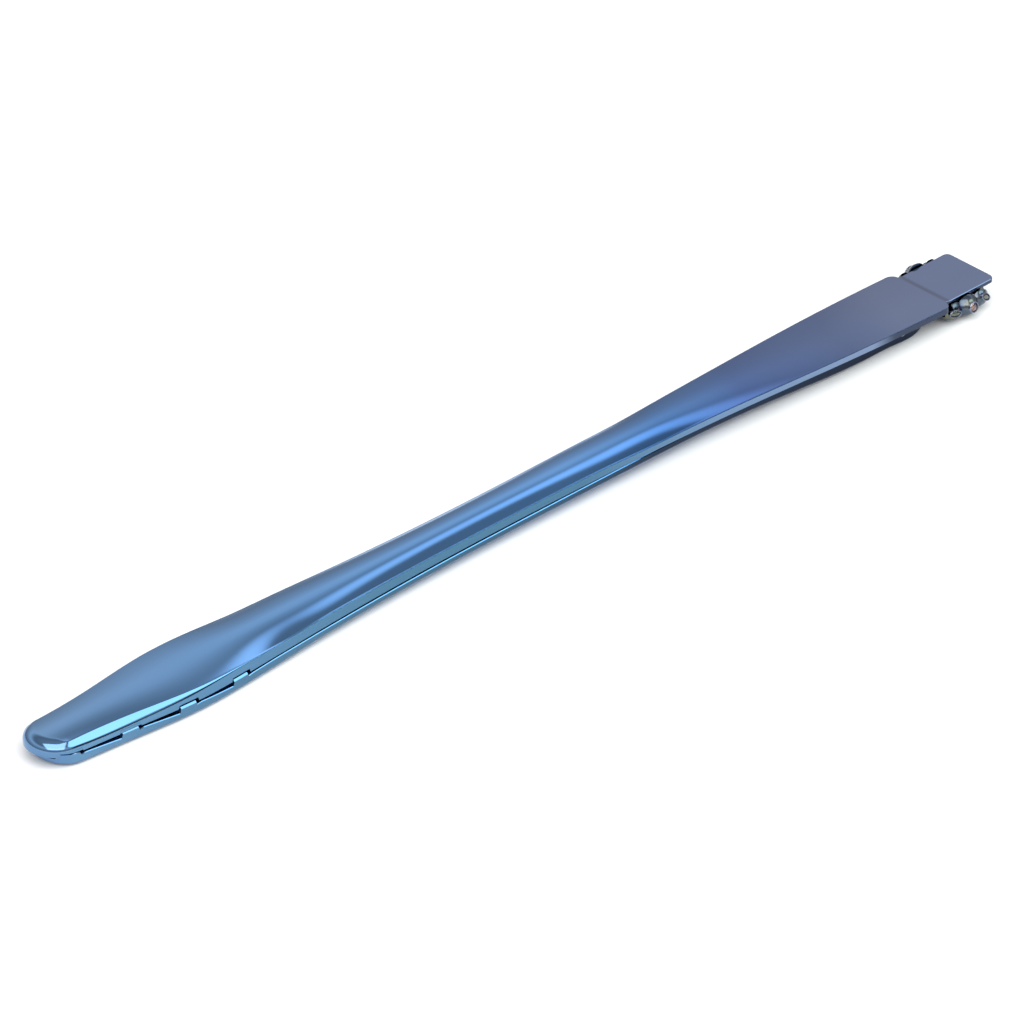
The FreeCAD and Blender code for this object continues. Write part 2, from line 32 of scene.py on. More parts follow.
MM = 0.001
CLIP_HALF_LENGTH = 65 * MM
CREASE_ANGLE = 38           # faces that meet at more than this show an edge, in degrees
SHEET = 0.5
RIM = 0.06                  # softening of a sheet's cut edges
INNER_RADIUS = 0.25         # rounding of the inside corners
PARTING_GAP = 0.18          # between the jaws' edges, behind the teeth
DOUBLED = 0.0008            # points closer than this are one
SHORTEST_EDGE = 0.0004
SLOPE_STEP = 0.01

# place along X, half-width, height of the top's edges, rise of the crown, size of the bevel
UPPER_STATIONS = [
    (-65.0, 2.86, 2.60, 0.24, 0.40),
    (-60.0, 3.30, 2.60, 0.26, 0.72),
    (-54.0, 3.82, 2.62, 0.28, 0.68),
    (-46.5, 4.38, 2.62, 0.32, 0.34),
    (-40.0, 4.08, 2.63, 0.42, 0.11),
    (-31.0, 3.46, 2.64, 0.54, 0.08),
    (-20.0, 2.88, 2.64, 0.60, 0.08),
    (-4.0, 2.58, 2.70, 0.60, 0.08),
    (12.0, 2.78, 2.84, 0.50, 0.08),
    (26.0, 3.28, 2.88, 0.34, 0.08),
    (40.0, 4.02, 2.80, 0.18, 0.08),
    (50.0, 4.33, 2.72, 0.10, 0.08),
    (60.0, 4.38, 2.60, 0.06, 0.08),
]
UPPER_NOSE_JOIN_X = -61.95
NOSE_ROLL_WIDTH = 1.3       # how far back the rounded nose reaches on the top
NOSE_ROLL_HEIGHT = 1.05
NOSE_ROLL_FULL = 0.42       # share of the turn round the nose where the roll is complete
BODY_END_X = 57.9
BODY_CORNER_RADIUS = 1.0
TAB_HALF_WIDTH = 3.45
TAB_CORNER_RADIUS = 0.6
CREASE_X = 58.5
CREASE_Z = 2.58
TAB_END_Z = 2.68
TAB_END_X = 65.0

# place along X, half-width, height of the underside, lean of the walls
LOWER_STATIONS = [
    (-64.0, 2.96, 0.04, 0.0),
    (-59.0, 3.36, 0.00, 0.0),
    (-54.0, 3.80, 0.00, 0.0),
    (-46.5, 4.36, 0.00, 0.0),
    (-40.0, 4.06, 0.02, 0.0),
    (-30.0, 3.40, 0.36, 0.0),
    (-14.0, 2.72, 0.66, 0.0),
    (2.0, 2.60, 0.86, 0.02),
    (14.0, 2.68, 1.02, 0.10),
    (24.0, 2.74, 1.04, 0.18),
    (32.0, 2.84, 0.78, 0.22),
    (40.0, 3.00, 0.34, 0.22),
    (47.0, 3.00, 0.06, 0.22),
    (51.0, 3.00, 0.04, 0.22),
    (53.7, 3.00, 0.04, 0.22),
    (54.6, 2.90, 0.30, 0.22),
    (55.4, 2.75, 0.72, 0.22),
    (56.2, 2.60, 1.00, 0.22),
]
LOWER_NOSE_JOIN_X = -60.9
LOWER_NOSE_RISE = 0.14      # lift of the lower jaw's floor at its tip
LOWER_NOSE_RISE_X = -61.6
LOWER_TIP_X = -63.9
LOWER_EDGE_RADIUS = 0.34
COLUMN_STEP = 0.42          # spacing of the mesh's columns along the clip
CLOSEST_COLUMNS = 0.03
ROUND_STEPS = 7             # mesh steps round a rounded corner
CORNER_STEPS = 9            # mesh steps round the corner of the body's rear end
CORNER_TURN = 88            # in degrees
NOSE_STEPS = 26             # mesh steps round half of a nose
TAIL_HALF_WIDTH = 2.4
TAIL_END_X = 64.2
TAIL_Z = 1.0
TAIL_THICKNESS = 0.45

PARTING_LINE = [(-36.0, 1.34), (-18.0, 1.58), (-2.0, 1.80), (14.0, 2.02), (26.0, 2.14),
                (38.0, 2.12), (48.0, 2.00), (62.0, 1.84)]
PARTING_TIP_Z = 1.30
TOOTH_GAP = 0.24
LOWER_WALL_REAR = [(26.0, 1.94), (53.6, 1.92), (56.2, 1.45), (60.0, 1.45)]
LOWER_WALL_TURN_X = 14.0    # the lower jaw's wall leaves the parting line here
FIRST_TOOTH_X = -62.2
TOOTH_PITCH = 7.04
TOOTH_COUNT = 4
TOOTH_HALF_LENGTH = 0.95
TOOTH_RISE = 0.33           # above the lower jaw's edge
TOOTH_CHAMFER = 0.17        # coined edge along the top of each tooth
TOOTH_FLANK = 0.12          # length of a tooth's sloped side
GULLET_DEPTH = 0.26         # dip of the edge in front of each tooth
NOTCH_RISE = 0.38           # notch in the upper jaw over each tooth
NOTCH_CLEARANCE = 0.22      # room along X between tooth and notch

# Hinge pin
PIVOT_X = 52.0
PIVOT_Z = 1.3
PIN_RADIUS = 0.35
PIN_HEAD_RADIUS = 0.50
PIN_HEAD_Y = 2.92
PIN_HEAD_LENGTH = 0.18

# The cast flower: petals around a squared oval, with the stones' seats on their outer sides
FLOWER_X = 60.7
AT_FLOWER = Matrix.Translation((FLOWER_X, 0, 0))
PETAL_COUNT = 10
PETAL_RING_X = 2.90
PETAL_RING_Y = 3.20
PETAL_RING_POWER = 0.75     # below 1 gives the ring squarer corners than an ellipse
PETAL_RADIUS = 1.49
PETAL_Z = 1.20
PETAL_RISE = {"right": 1.24, "left": 1.90}     # the casting stands higher on its +Y side
PETAL_DROP = 1.20
PETAL_ROWS = 34
PETAL_COLUMNS = 56
GROOVE_TURN = 0.62          # turn of a petal's outer grooves from its outward line, in radians
GROOVE_DEPTH = 0.06
GROOVE_WIDTH = 0.11         # in radians
MIDDLE_GROOVE = 0.4         # depth of the middle groove, as a share of the outer ones
CHANNEL_HALF_WIDTH = 3.62   # clear way between the raised petals for the press tab
CHANNEL_Z = 1.0
FLANGE_RELIEF_X = 58.4      # in front of this the petals stay low, under the body's flange
FLANGE_RELIEF_Z = 1.46
STEP_WIDTH = 0.01           # plan width of an upright step in the petals
CORE_RADIUS = 3.30
CORE_BOTTOM_Z = 0.42
CENTRE_COLLET_RADIUS = 1.55
CENTRE_STONE_RADIUS = 1.22
CENTRE_STONE_DEPTH = 0.55
COLLET_RIM_Z = 0.24
COLLET_BACK_Z = 0.95
CLAW_COUNT = 4
CLAW_RADIUS = 0.17
CLAW_RING_RADIUS = 1.30
SIDE_COLLET = (0.62, 0.62)
SIDE_STONE = (0.46, 0.46)
OVAL_BEZEL = (0.78, 0.42)
OVAL_STONE = (0.64, 0.29)
SEAT_DEPTH = 0.30
COLLET_STAND = 0.10
BEZEL_STAND = 0.07
STONE_DEPTH = 0.27
OVAL_SLANT = 20.0
GRAIN_RADIUS = 0.055        # small beads raised along a bezel's lip
SIDE_GRAINS = 16
OVAL_GRAINS = 20
# Seats: petal's angle round the flower, way the stone faces, latitude on the petal
SIDE_PLACES = {
    "left": (90.0, 90.0, 18.0),
    "right": (-90.0, -90.0, 8.67),
}
OVAL_PLACES = {
    "front_left": (126.0, 100.0, 3.0),
    "front_right": (-126.0, -100.0, 3.0),
    "rear_left": (54.0, 76.0, 12.0),
    "rear_right": (-54.0, -76.0, 12.0),
}
BEAD_COUNT = 16
BEAD_RADIUS = 0.19
BEAD_RING_RADIUS = 1.80
BEAD_BAND_RADIUS = 1.94
BEAD_Z = 0.32
RIVET_RADIUS = 0.35
RIVET_HEAD_RADIUS = 0.50
RIVET_HEAD_LENGTH = 0.10
RIVET_FOOT_Z = 0.5
RIVET_PLACES = [(58.1, 1.45), (58.1, -1.45), (61.8, 1.85), (61.8, -1.85)]


# -------- curves and small helpers

class Spline:
    """Smooth curve through points (x, value), with no jump in its curvature."""

    def __init__(self, points):
        self.x = np.array([p[0] for p in points], float)
        self.y = np.array([p[1] for p in points], float)
        n = len(points)
        step = np.diff(self.x)
        slope = np.diff(self.y) / step
        rows = np.eye(n)
        right = np.zeros(n)
        for i in range(1, n - 1):
            rows[i, i - 1:i + 2] = step[i - 1], 2 * (step[i - 1] + step[i]), step[i]
            right[i] = 6 * (slope[i] - slope[i - 1])
        self.bend = np.linalg.solve(rows, right)

    def __call__(self, x):
        i = int(np.clip(np.searchsorted(self.x, x) - 1, 0, len(self.x) - 2))
        h = self.x[i + 1] - self.x[i]
        a = (self.x[i + 1] - x) / h
        b = (x - self.x[i]) / h
        curve = ((a ** 3 - a) * self.bend[i] + (b ** 3 - b) * self.bend[i + 1]) * h * h / 6
        return float(a * self.y[i] + b * self.y[i + 1] + curve)

    def slope(self, x):
        return (self(x + SLOPE_STEP) - self(x - SLOPE_STEP)) / (2 * SLOPE_STEP)


def column_of(stations, index):
    return Spline([(s[0], s[index]) for s in stations])


def linked(name, bm, body, material):
    """A mesh object from bmesh in millimetres, riding on a body."""
    bmesh.ops.scale(bm, vec=(MM, MM, MM), verts=bm.verts)
    mesh = bpy.data.meshes.new(name)
    bm.to_mesh(mesh)
    bm.free()
    for polygon in mesh.polygons:
        polygon.use_smooth = True
    mesh.set_sharp_from_angle(angle=math.radians(CREASE_ANGLE))
    obj = bpy.data.objects.new(name, mesh)
    bpy.context.scene.collection.objects.link(obj)
    obj.data.materials.append(material)
    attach(obj, body)
    return obj


def finish_node(name, material):
    """Gives a CAD piece its material and smooth shading, its mesh unchanged."""
    node = bpy.data.objects[name]
    node.data.materials.clear()
    node.data.materials.append(material)
    for polygon in node.data.polygons:
        polygon.use_smooth = True
        polygon.material_index = 0
    node.data.set_sharp_from_angle(angle=math.radians(CREASE_ANGLE))


def face(bm, corners):
    """A face from corners that may repeat where the mesh closes to a point."""
    corners = list(dict.fromkeys(corners))
    if len(corners) > 2:
        bm.faces.new(corners)


def grid_faces(bm, rows):
    """Quads between neighbouring rows of vertices."""
    for low, high in zip(rows, rows[1:]):
        for i in range(len(low) - 1):
            face(bm, [low[i], low[i + 1], high[i + 1], high[i]])


def sheet_faces(bm, outer, inner, first, last):
    """Skin of a folded sheet: both faces, both long rims, and its rear end, which is left open
    from column first to column last, where a strip goes on."""
    grid_faces(bm, outer)
    grid_faces(bm, inner)
    for side in (0, -1):
        grid_faces(bm, [[row[side] for row in outer], [row[side] for row in inner]])
    for i in range(len(outer[-1]) - 1):
        if not first <= i < last:
            face(bm, [outer[-1][i], outer[-1][i + 1], inner[-1][i + 1], inner[-1][i]])


def strip_faces(bm, outer_start, inner_start, places, steps, thickness):
    """Flat strip that goes on from a sheet's rear end; places are (x, half-width, height)."""
    rings = [outer_start + [outer_start[-1], inner_start[-1]] + inner_start[::-1]
             + [inner_start[0], outer_start[0]]]
    for x, half, z in places:
        ys = [(half - RIM) * (1 - 2 * i / steps) for i in range(steps + 1)]
        outer = [(x, y, z) for y in ys]
        inner = [(x, y, z - thickness) for y in ys[::-1]]
        edge = math.copysign(RIM, thickness)
        right = [(x, -half, z - edge), (x, -half, z - thickness + edge)]
        left = [(x, half, z - thickness + edge), (x, half, z - edge)]
        rings.append([bm.verts.new(p) for p in outer + right + inner + left])
    for ring in rings:
        ring.append(ring[0])
    grid_faces(bm, rings)
    face(bm, rings[-1][:-1])


def cleaned(bm):
    """Joins doubled points and turns the closed skin's faces outwards."""
    bmesh.ops.remove_doubles(bm, verts=bm.verts, dist=DOUBLED)
    bmesh.ops.dissolve_degenerate(bm, edges=bm.edges, dist=SHORTEST_EDGE)
    bmesh.ops.recalc_face_normals(bm, faces=bm.faces)
    return bm


def eased(share):
    """Smooth step from 0 to 1."""
    share = float(np.clip(share, 0, 1))
    return share * share * (3 - 2 * share)


def rounded(corner, before, after, radius, steps=4, after_radius=None):
    """(inset, height) pairs that round a corner, reaching one radius towards each neighbour."""
    corner, before, after = (np.array(p, float) for p in (corner, before, after))
    into = before - corner
    out = after - corner
    start = corner + into / np.linalg.norm(into) * radius
    end = corner + out / np.linalg.norm(out) * (after_radius or radius)
    points = []
    for i in range(steps + 1):
        t = i / steps
        points.append(tuple((1 - t) ** 2 * start + 2 * t * (1 - t) * corner + t * t * end))
    return points


# -------- the jaws' outlines

class Outline:
    """Plan of a jaw's side: a smooth half-width curve that ends in a round nose at the tip."""

    def __init__(self, stations, join_x):
        self.width = column_of(stations, 1)
        self.join_x = join_x
        slope = self.width.slope(join_x)
        self.lean = math.atan(slope)
        self.radius = self.width(join_x) / math.cos(self.lean)
        self.centre_x = join_x + self.radius * math.sin(self.lean)

    def at(self, x):
        """Point on the outline and its inward direction, at a place along the straight side."""
        slope = self.width.slope(x)
        inward = Vector((slope, -1.0)).normalized()
        return Vector((x, self.width(x))), inward

    def on_nose(self, turn):
        """The same on the nose, from 0 where it joins the side to 1 at the very tip."""
        angle = self.lean + (math.pi / 2 - self.lean) * turn
        outward = Vector((-math.sin(angle), math.cos(angle)))
        return Vector((self.centre_x, 0.0)) + outward * self.radius, -outward


def tooth_places():
    return [FIRST_TOOTH_X + i * TOOTH_PITCH for i in range(TOOTH_COUNT)]


def body_places(start, end, extra):
    """Places along X for the mesh's columns: evenly spaced, plus the corners of the teeth."""
    count = int((end - start) / COLUMN_STEP)
    places = [start + (end - start) * i / count for i in range(count + 1)]
    places += [x for x in extra if start < x < end]
    places.sort()
    kept = [places[0]]
    for x in places[1:]:
        if x - kept[-1] > CLOSEST_COLUMNS:
            kept.append(x)
    return kept


def between(points):
    """Straight runs through (x, z) points, as a function of x."""
    xs = [p[0] for p in points]
    zs = [p[1] for p in points]
    return lambda x: float(np.interp(x, xs, zs))


PARTING = Spline(PARTING_LINE)


def upper_edge_points():
    reach = TOOTH_HALF_LENGTH + NOTCH_CLEARANCE
    edge = [(-70.0, PARTING_TIP_Z)]
    for x in tooth_places():
        edge += [(x - reach - TOOTH_FLANK, PARTING_TIP_Z),
                 (x - reach, PARTING_TIP_Z + NOTCH_RISE),
                 (x + reach, PARTING_TIP_Z + NOTCH_RISE),
                 (x + reach + TOOTH_FLANK, PARTING_TIP_Z)]
    return edge


def lower_edge_points():
    level = PARTING_TIP_Z - TOOTH_GAP
    edge = [(-70.0, level)]
    for x in tooth_places():
        edge += [(x - TOOTH_HALF_LENGTH - TOOTH_FLANK, level - GULLET_DEPTH),
                 (x - TOOTH_HALF_LENGTH, level + TOOTH_RISE),
                 (x + TOOTH_HALF_LENGTH, level + TOOTH_RISE),
                 (x + TOOTH_HALF_LENGTH + TOOTH_FLANK, level - GULLET_DEPTH / 3),
                 (x + TOOTH_HALF_LENGTH + 6 * TOOTH_FLANK, level)]
    return edge


def edge_height(points, lift):
    """Height of a jaw's toothed edge, then of the parting line behind the teeth."""
    toothed = between(points + [(PARTING_LINE[0][0], PARTING_LINE[0][1] + lift)])

    def height(x):
        if x < PARTING_LINE[0][0]:
            return toothed(x)
        return PARTING(x) + lift
    return height


def lower_wall_height():
    front = edge_height(lower_edge_points(), -PARTING_GAP)
    rear = between([(LOWER_WALL_TURN_X, front(LOWER_WALL_TURN_X))] + LOWER_WALL_REAR)
    return lambda x: front(x) if x < LOWER_WALL_TURN_X else rear(x)


# -------- the upper jaw

UPPER = Outline(UPPER_STATIONS, UPPER_NOSE_JOIN_X)
RIDGE = column_of(UPPER_STATIONS, 2)
CROWN = column_of(UPPER_STATIONS, 3)
BEVEL = column_of(UPPER_STATIONS, 4)
# Shallow dips of the top's edges: place along X, half-length, depth
TOP_DIPS = [(-35.5, 4.5, 0.17), (16.5, 5.5, 0.13)]
TOP_STEPS = 44              # mesh columns across the crowned top
TAB_STEPS = 32              # of those, the ones that run on into the press tab
KNEE_REACH = 0.45           # how far down the flange its rounded upper edge reaches
KNEE_WIDTH = 0.28           # and how far up the bevel, at most
KNEE_STEPS = 8
TAB_SHARE = (TAB_HALF_WIDTH - RIM) / UPPER.width(BODY_END_X)
EDGE_POWER = 8              # keeps the correction of a row's height close to the brow


def upper_columns():
    """(outline point, inward direction, share of the nose's roll), from the tip to the rear."""
    columns = []
    for i in range(NOSE_STEPS):
        turn = 1 - i / NOSE_STEPS
        columns.append((*UPPER.on_nose(turn), eased(turn / NOSE_ROLL_FULL)))
    notch_corners = [p[0] for p in upper_edge_points()]
    corner_x = BODY_END_X - BODY_CORNER_RADIUS
    for x in body_places(UPPER.join_x, corner_x, notch_corners):
        columns.append((*UPPER.at(x), 0.0))
    corner_y = UPPER.width(corner_x) - BODY_CORNER_RADIUS
    for i in range(1, CORNER_STEPS + 1):
        turn = math.radians(CORNER_TURN) * i / CORNER_STEPS
        outward = Vector((math.sin(turn), math.cos(turn)))
        columns.append((Vector((corner_x, corner_y)) + outward * BODY_CORNER_RADIUS, -outward, 0.0))
    return columns


def blend(first, second, share):
    return [((1 - share) * a[0] + share * b[0], (1 - share) * a[1] + share * b[1])
            for a, b in zip(first, second)]


def quarter(start_inset, start_height, width, height, count):
    """Quarter of an ellipse as (inset, height) pairs, from upright to level."""
    return [(start_inset + width * (1 - math.cos(math.pi / 2 * i / (count - 1))),
             start_height + height * math.sin(math.pi / 2 * i / (count - 1)))
            for i in range(count)]


def upper_side(place, inward, low, roll):
    """Outer and inner profiles of flange, bevel and ridge as (inset, height) pairs, going up."""
    bevel = BEVEL(place.x)
    reach = bevel + roll * (NOSE_ROLL_WIDTH - bevel)
    brow_place = place + inward * (reach + RIM)
    ridge = surface_height(brow_place.x, max(brow_place.y, 0.0))
    knee = (0.0, ridge - bevel)
    brow = (bevel, ridge)
    crisp = rounded(knee, (0.0, low), brow, KNEE_REACH, KNEE_STEPS, min(KNEE_WIDTH, 0.7 * bevel))
    crisp += [(bevel * 0.5, ridge - bevel * 0.5)]
    crisp += rounded(brow, knee, (bevel + 1.0, ridge), RIM)
    count = len(crisp)
    smooth = quarter(0.0, ridge - NOSE_ROLL_HEIGHT, NOSE_ROLL_WIDTH, NOSE_ROLL_HEIGHT, count)
    outer = blend(crisp, smooth, roll)
    ceiling = ridge - SHEET
    crisp_inner = quarter(SHEET, ceiling - INNER_RADIUS, INNER_RADIUS, INNER_RADIUS, count)
    smooth_inner = quarter(SHEET, ceiling - NOSE_ROLL_HEIGHT + SHEET, NOSE_ROLL_WIDTH - SHEET,
                           NOSE_ROLL_HEIGHT - SHEET, count)
    inner = blend(crisp_inner, smooth_inner, roll)
    outer = wall(0.0, 1.0, low, outer[0][1]) + outer
    inner = wall(SHEET, -1.0, low, inner[0][1]) + inner
    return outer, inner


def wall(inset, rim_way, low, high):
    """Upright run of a flange with a softened rim at its low end."""
    return [(inset + rim_way * RIM, low)] + [(inset, low + RIM + t * (high - low - RIM))
                                             for t in (0.0, 0.4, 0.8)]


def surface_height(x, y):
    """Height of the crowned top, which dips a little in front of the waist and behind it."""
    full = UPPER.width(max(x, UPPER.join_x)) - BEVEL(x)
    dips = sum(depth * math.exp(-((x - middle) / length) ** 2) for middle, length, depth in TOP_DIPS)
    edge = min(1.0, (y / full) ** 2)
    return RIDGE(x) + CROWN(x) * (1 - edge) - dips * edge


def across(place, inward, profile):
    """Points of a side profile in space, at one column of the outline."""
    points = []
    for inset, height in profile:
        point = place + inward * inset
        points.append((point.x, max(point.y, 0.0), height))
    return points


def mirrored(points):
    return [(x, -y, z) for x, y, z in reversed(points)]


def top_places(half, tab_y):
    """Places across the top, from next to one brow to next to the other."""
    rim_steps = (TOP_STEPS - TAB_STEPS) // 2
    ys = [half + (tab_y - half) * i / rim_steps for i in range(1, rim_steps)]
    mirror = [-y for y in reversed(ys)]
    return ys + [tab_y - 2 * tab_y * i / TAB_STEPS for i in range(TAB_STEPS + 1)] + mirror


def top_row(x, half, tab_y, brow_z, drop):
    """Points across one face of the top, eased into the height of the brow at either side."""
    gap = brow_z + drop - surface_height(x, half)
    return [(x, y, surface_height(x, y) - drop + gap * (y / half if half else 0) ** EDGE_POWER)
            for y in top_places(half, tab_y)]


def tab_places():
    """The press tab's (x, half-width, height) places: crease, slight rise, rounded corners."""
    corner_x = TAB_END_X - TAB_CORNER_RADIUS
    xs = [BODY_END_X + 0.2 * i for i in range(1, 8)] + [60.0, 61.0, 62.0, 63.0, 63.8]
    xs += [corner_x + TAB_CORNER_RADIUS * math.sin(math.pi / 2 * i / 8) for i in range(9)]
    crease_from = surface_height(BODY_END_X, TAB_HALF_WIDTH)
    places = []
    for x in xs:
        past = max(0.0, x - corner_x) / TAB_CORNER_RADIUS
        half = TAB_HALF_WIDTH - TAB_CORNER_RADIUS * (1 - math.sqrt(max(0.0, 1 - past ** 2)))
        fade = eased((x - BODY_END_X) / (CREASE_X - BODY_END_X))
        level = CREASE_Z + (TAB_END_Z - CREASE_Z) * max(0.0, x - CREASE_X) / (TAB_END_X - CREASE_X)
        places.append((x, half, (1 - fade) * crease_from + fade * level))
    return places


def upper_jaw_mesh():
    bm = bmesh.new()
    low_of = edge_height(upper_edge_points(), 0.0)
    outer_rows = []
    inner_rows = []
    for place, inward, roll in upper_columns():
        profiles = upper_side(place, inward, low_of(place.x), roll)
        for profile, rows, drop in zip(profiles, (outer_rows, inner_rows), (0.0, SHEET)):
            side = across(place, inward, profile)
            x, half, brow_z = side[-1]
            tab_y = half * TAB_SHARE
            if place.x > BODY_END_X - BODY_CORNER_RADIUS:
                tab_y = min(TAB_HALF_WIDTH - RIM, half - 0.02)
            top = top_row(x, half, tab_y, brow_z, drop)
            rows.append([bm.verts.new(p) for p in side + top + mirrored(side)])
    first = len(side) + (TOP_STEPS - TAB_STEPS) // 2 - 1
    last = first + TAB_STEPS
    sheet_faces(bm, outer_rows, inner_rows, first, last)
    strip_faces(bm, outer_rows[-1][first:last + 1], inner_rows[-1][first:last + 1],
                tab_places(), TAB_STEPS, SHEET)
    return cleaned(bm)


# -------- the lower jaw

LOWER = Outline(LOWER_STATIONS, LOWER_NOSE_JOIN_X)
FLOOR = column_of(LOWER_STATIONS, 2)
LEAN = column_of(LOWER_STATIONS, 3)
FLOOR_STEPS = 22            # mesh columns across the floor
FLOOR_CURVE = 2.2           # power of the floor's rise towards the tip
LOWER_INNER_RADIUS = 0.12


def floor_height(x):
    rise = max(0.0, (LOWER_NOSE_RISE_X - x) / (LOWER_NOSE_RISE_X - LOWER_TIP_X))
    return max(0.0, FLOOR(x)) + LOWER_NOSE_RISE * rise ** FLOOR_CURVE


def tooth_share(x):
    """1 on a tooth, 0 between the teeth."""
    nearest = min(abs(x - tooth) for tooth in tooth_places())
    return 1.0 if nearest < TOOTH_HALF_LENGTH + 0.01 else 0.0


def lower_side(x, high):
    """Outer and inner profiles of wall and corner as (inset, height) pairs, going down."""
    bottom = floor_height(x)
    radius = min(LOWER_EDGE_RADIUS, 0.8 * (high - bottom))
    profiles = []
    ceiling = min(bottom + SHEET, high - 0.01)
    for inset, base, bend, rim_way in ((0.0, bottom, radius, 1.0),
                                       (SHEET, ceiling, LOWER_INNER_RADIUS, -1.0)):
        bend = min(bend, 0.8 * (high - base))
        lean = max(0.0, LEAN(x)) * (high - bottom - radius)
        rim = RIM + (TOOTH_CHAMFER - RIM) * tooth_share(x) if rim_way > 0 else RIM
        side = [(inset + lean + rim_way * rim, high)]
        for t in (0.0, 0.33, 0.67):
            height = high - rim * (1 - t) + t * (base + bend - high)
            side.append((inset + lean * (1 - t), max(height, base + bend)))
        for i in range(ROUND_STEPS + 1):
            turn = math.pi / 2 * i / ROUND_STEPS
            side.append((inset + bend * (1 - math.cos(turn)), base + bend * (1 - math.sin(turn))))
        profiles.append(side)
    return profiles


def lower_jaw_mesh():
    bm = bmesh.new()
    high_of = lower_wall_height()
    columns = [LOWER.on_nose(1 - i / NOSE_STEPS) for i in range(NOSE_STEPS)]
    corners = [p[0] for p in lower_edge_points()]
    columns += [LOWER.at(x) for x in body_places(LOWER.join_x, LOWER_STATIONS[-1][0], corners)]
    outer_rows = []
    inner_rows = []
    for place, inward in columns:
        for profile, rows in zip(lower_side(place.x, high_of(place.x)), (outer_rows, inner_rows)):
            side = across(place, inward, profile)
            x, half, z = side[-1]
            floor = [(x, half * (1 - 2 * i / FLOOR_STEPS), z) for i in range(1, FLOOR_STEPS)]
            rows.append([bm.verts.new(p) for p in side + floor + mirrored(side)])
    first = len(side) - 1
    last = first + FLOOR_STEPS
    sheet_faces(bm, outer_rows, inner_rows, first, last)
    places = [(x, TAIL_HALF_WIDTH, TAIL_Z) for x in (56.4, 57.0, 58.0, 60.0, 62.0, 64.0)]
    places.append((TAIL_END_X, TAIL_HALF_WIDTH - 0.2, TAIL_Z))
    strip_faces(bm, outer_rows[-1][first:last + 1], inner_rows[-1][first:last + 1],
                places, FLOOR_STEPS, -TAIL_THICKNESS)
    return cleaned(bm)


# -------- the hinge pin and the flower

def oval_ring(bm, size, height, turns, matrix):
    """Vertices round an oval with these half-sizes."""
    return [bm.verts.new(matrix @ Vector((size[0] * math.cos(turn), size[1] * math.sin(turn),
                                          height))) for turn in turns]


def lathe(bm, profile, steps, stretch=1.0, matrix=Matrix()):
    """Turned body from (radius, height) pairs; stretch scales it across to make it oval."""
    turns = [2 * math.pi * i / steps for i in range(steps)]
    rings = []
    for radius, height in profile:
        if radius == 0.0:
            rings.append([bm.verts.new(matrix @ Vector((0, 0, height)))] * steps)
        else:
            rings.append(oval_ring(bm, (radius, radius * stretch), height, turns, matrix))
    for ring in rings:
        ring.append(ring[0])
    grid_faces(bm, rings)


def ball_ring(bm, count, radius, size, z, matrix, start=0.0):
    """Small balls on a ring, which is oval where its two half-sizes differ."""
    for i in range(count):
        turn = 2 * math.pi * (i + start) / count
        place = (size[0] * math.cos(turn), size[1] * math.sin(turn), z)
        move = matrix @ Matrix.Translation(place)
        bmesh.ops.create_uvsphere(bm, u_segments=14, v_segments=9, radius=radius, matrix=move)


def hinge_pin_mesh():
    """Rivet-like pin whose two heads have rounded edges."""
    bm = bmesh.new()
    end = PIN_HEAD_Y + PIN_HEAD_LENGTH
    half = [(PIN_RADIUS, 0.0), (PIN_RADIUS, PIN_HEAD_Y - 0.02), (PIN_HEAD_RADIUS - 0.02, PIN_HEAD_Y),
            (PIN_HEAD_RADIUS, PIN_HEAD_Y + 0.03), (PIN_HEAD_RADIUS, end - 0.08),
            (PIN_HEAD_RADIUS - 0.04, end - 0.03), (PIN_HEAD_RADIUS - 0.12, end),
            (0.10, end), (0.06, end - 0.04), (0.0, end - 0.05)]
    for way in (-90, 90):
        turned = Matrix.Translation((PIVOT_X, 0, PIVOT_Z)) @ Matrix.Rotation(math.radians(way), 4, "X")
        lathe(bm, half, 40, matrix=turned)
    return cleaned(bm)


def squared(value):
    return math.copysign(abs(value) ** PETAL_RING_POWER, value)


def petal_centre(angle):
    turn = math.radians(angle)
    return Vector((FLOWER_X + PETAL_RING_X * squared(math.cos(turn)),
                   PETAL_RING_Y * squared(math.sin(turn)), PETAL_Z))


def petal_rise(angle):
    return PETAL_RISE["left"] if math.sin(math.radians(angle)) > 0 else PETAL_RISE["right"]


def petal_seat(angle, facing, latitude_degrees, slant=0.0):
    """Matrix of a stone's seat on a petal's outer side: its Z axis points out of the petal."""
    turn = math.radians(facing)
    latitude = math.radians(latitude_degrees)
    rise = petal_rise(angle)
    outward = Vector((math.cos(turn), math.sin(turn), 0))
    place = petal_centre(angle) + outward * (PETAL_RADIUS * math.cos(latitude))
    place.z += rise * math.sin(latitude)
    normal = outward * (math.cos(latitude) / PETAL_RADIUS)
    normal.z = math.sin(latitude) / rise
    turned = Vector((0, 0, 1)).rotation_difference(normal.normalized()).to_matrix().to_4x4()
    return Matrix.Translation(place) @ turned @ Matrix.Rotation(math.radians(slant), 4, "Z")


def oval_seat(angle, facing, latitude):
    return petal_seat(angle, facing, latitude, OVAL_SLANT if angle > 0 else -OVAL_SLANT)


def groove(turn, middle):
    """Depth at one turn of a rounded groove whose middle is at another; turns in radians."""
    return GROOVE_DEPTH * math.exp(-((turn - middle) / GROOVE_WIDTH) ** 2)


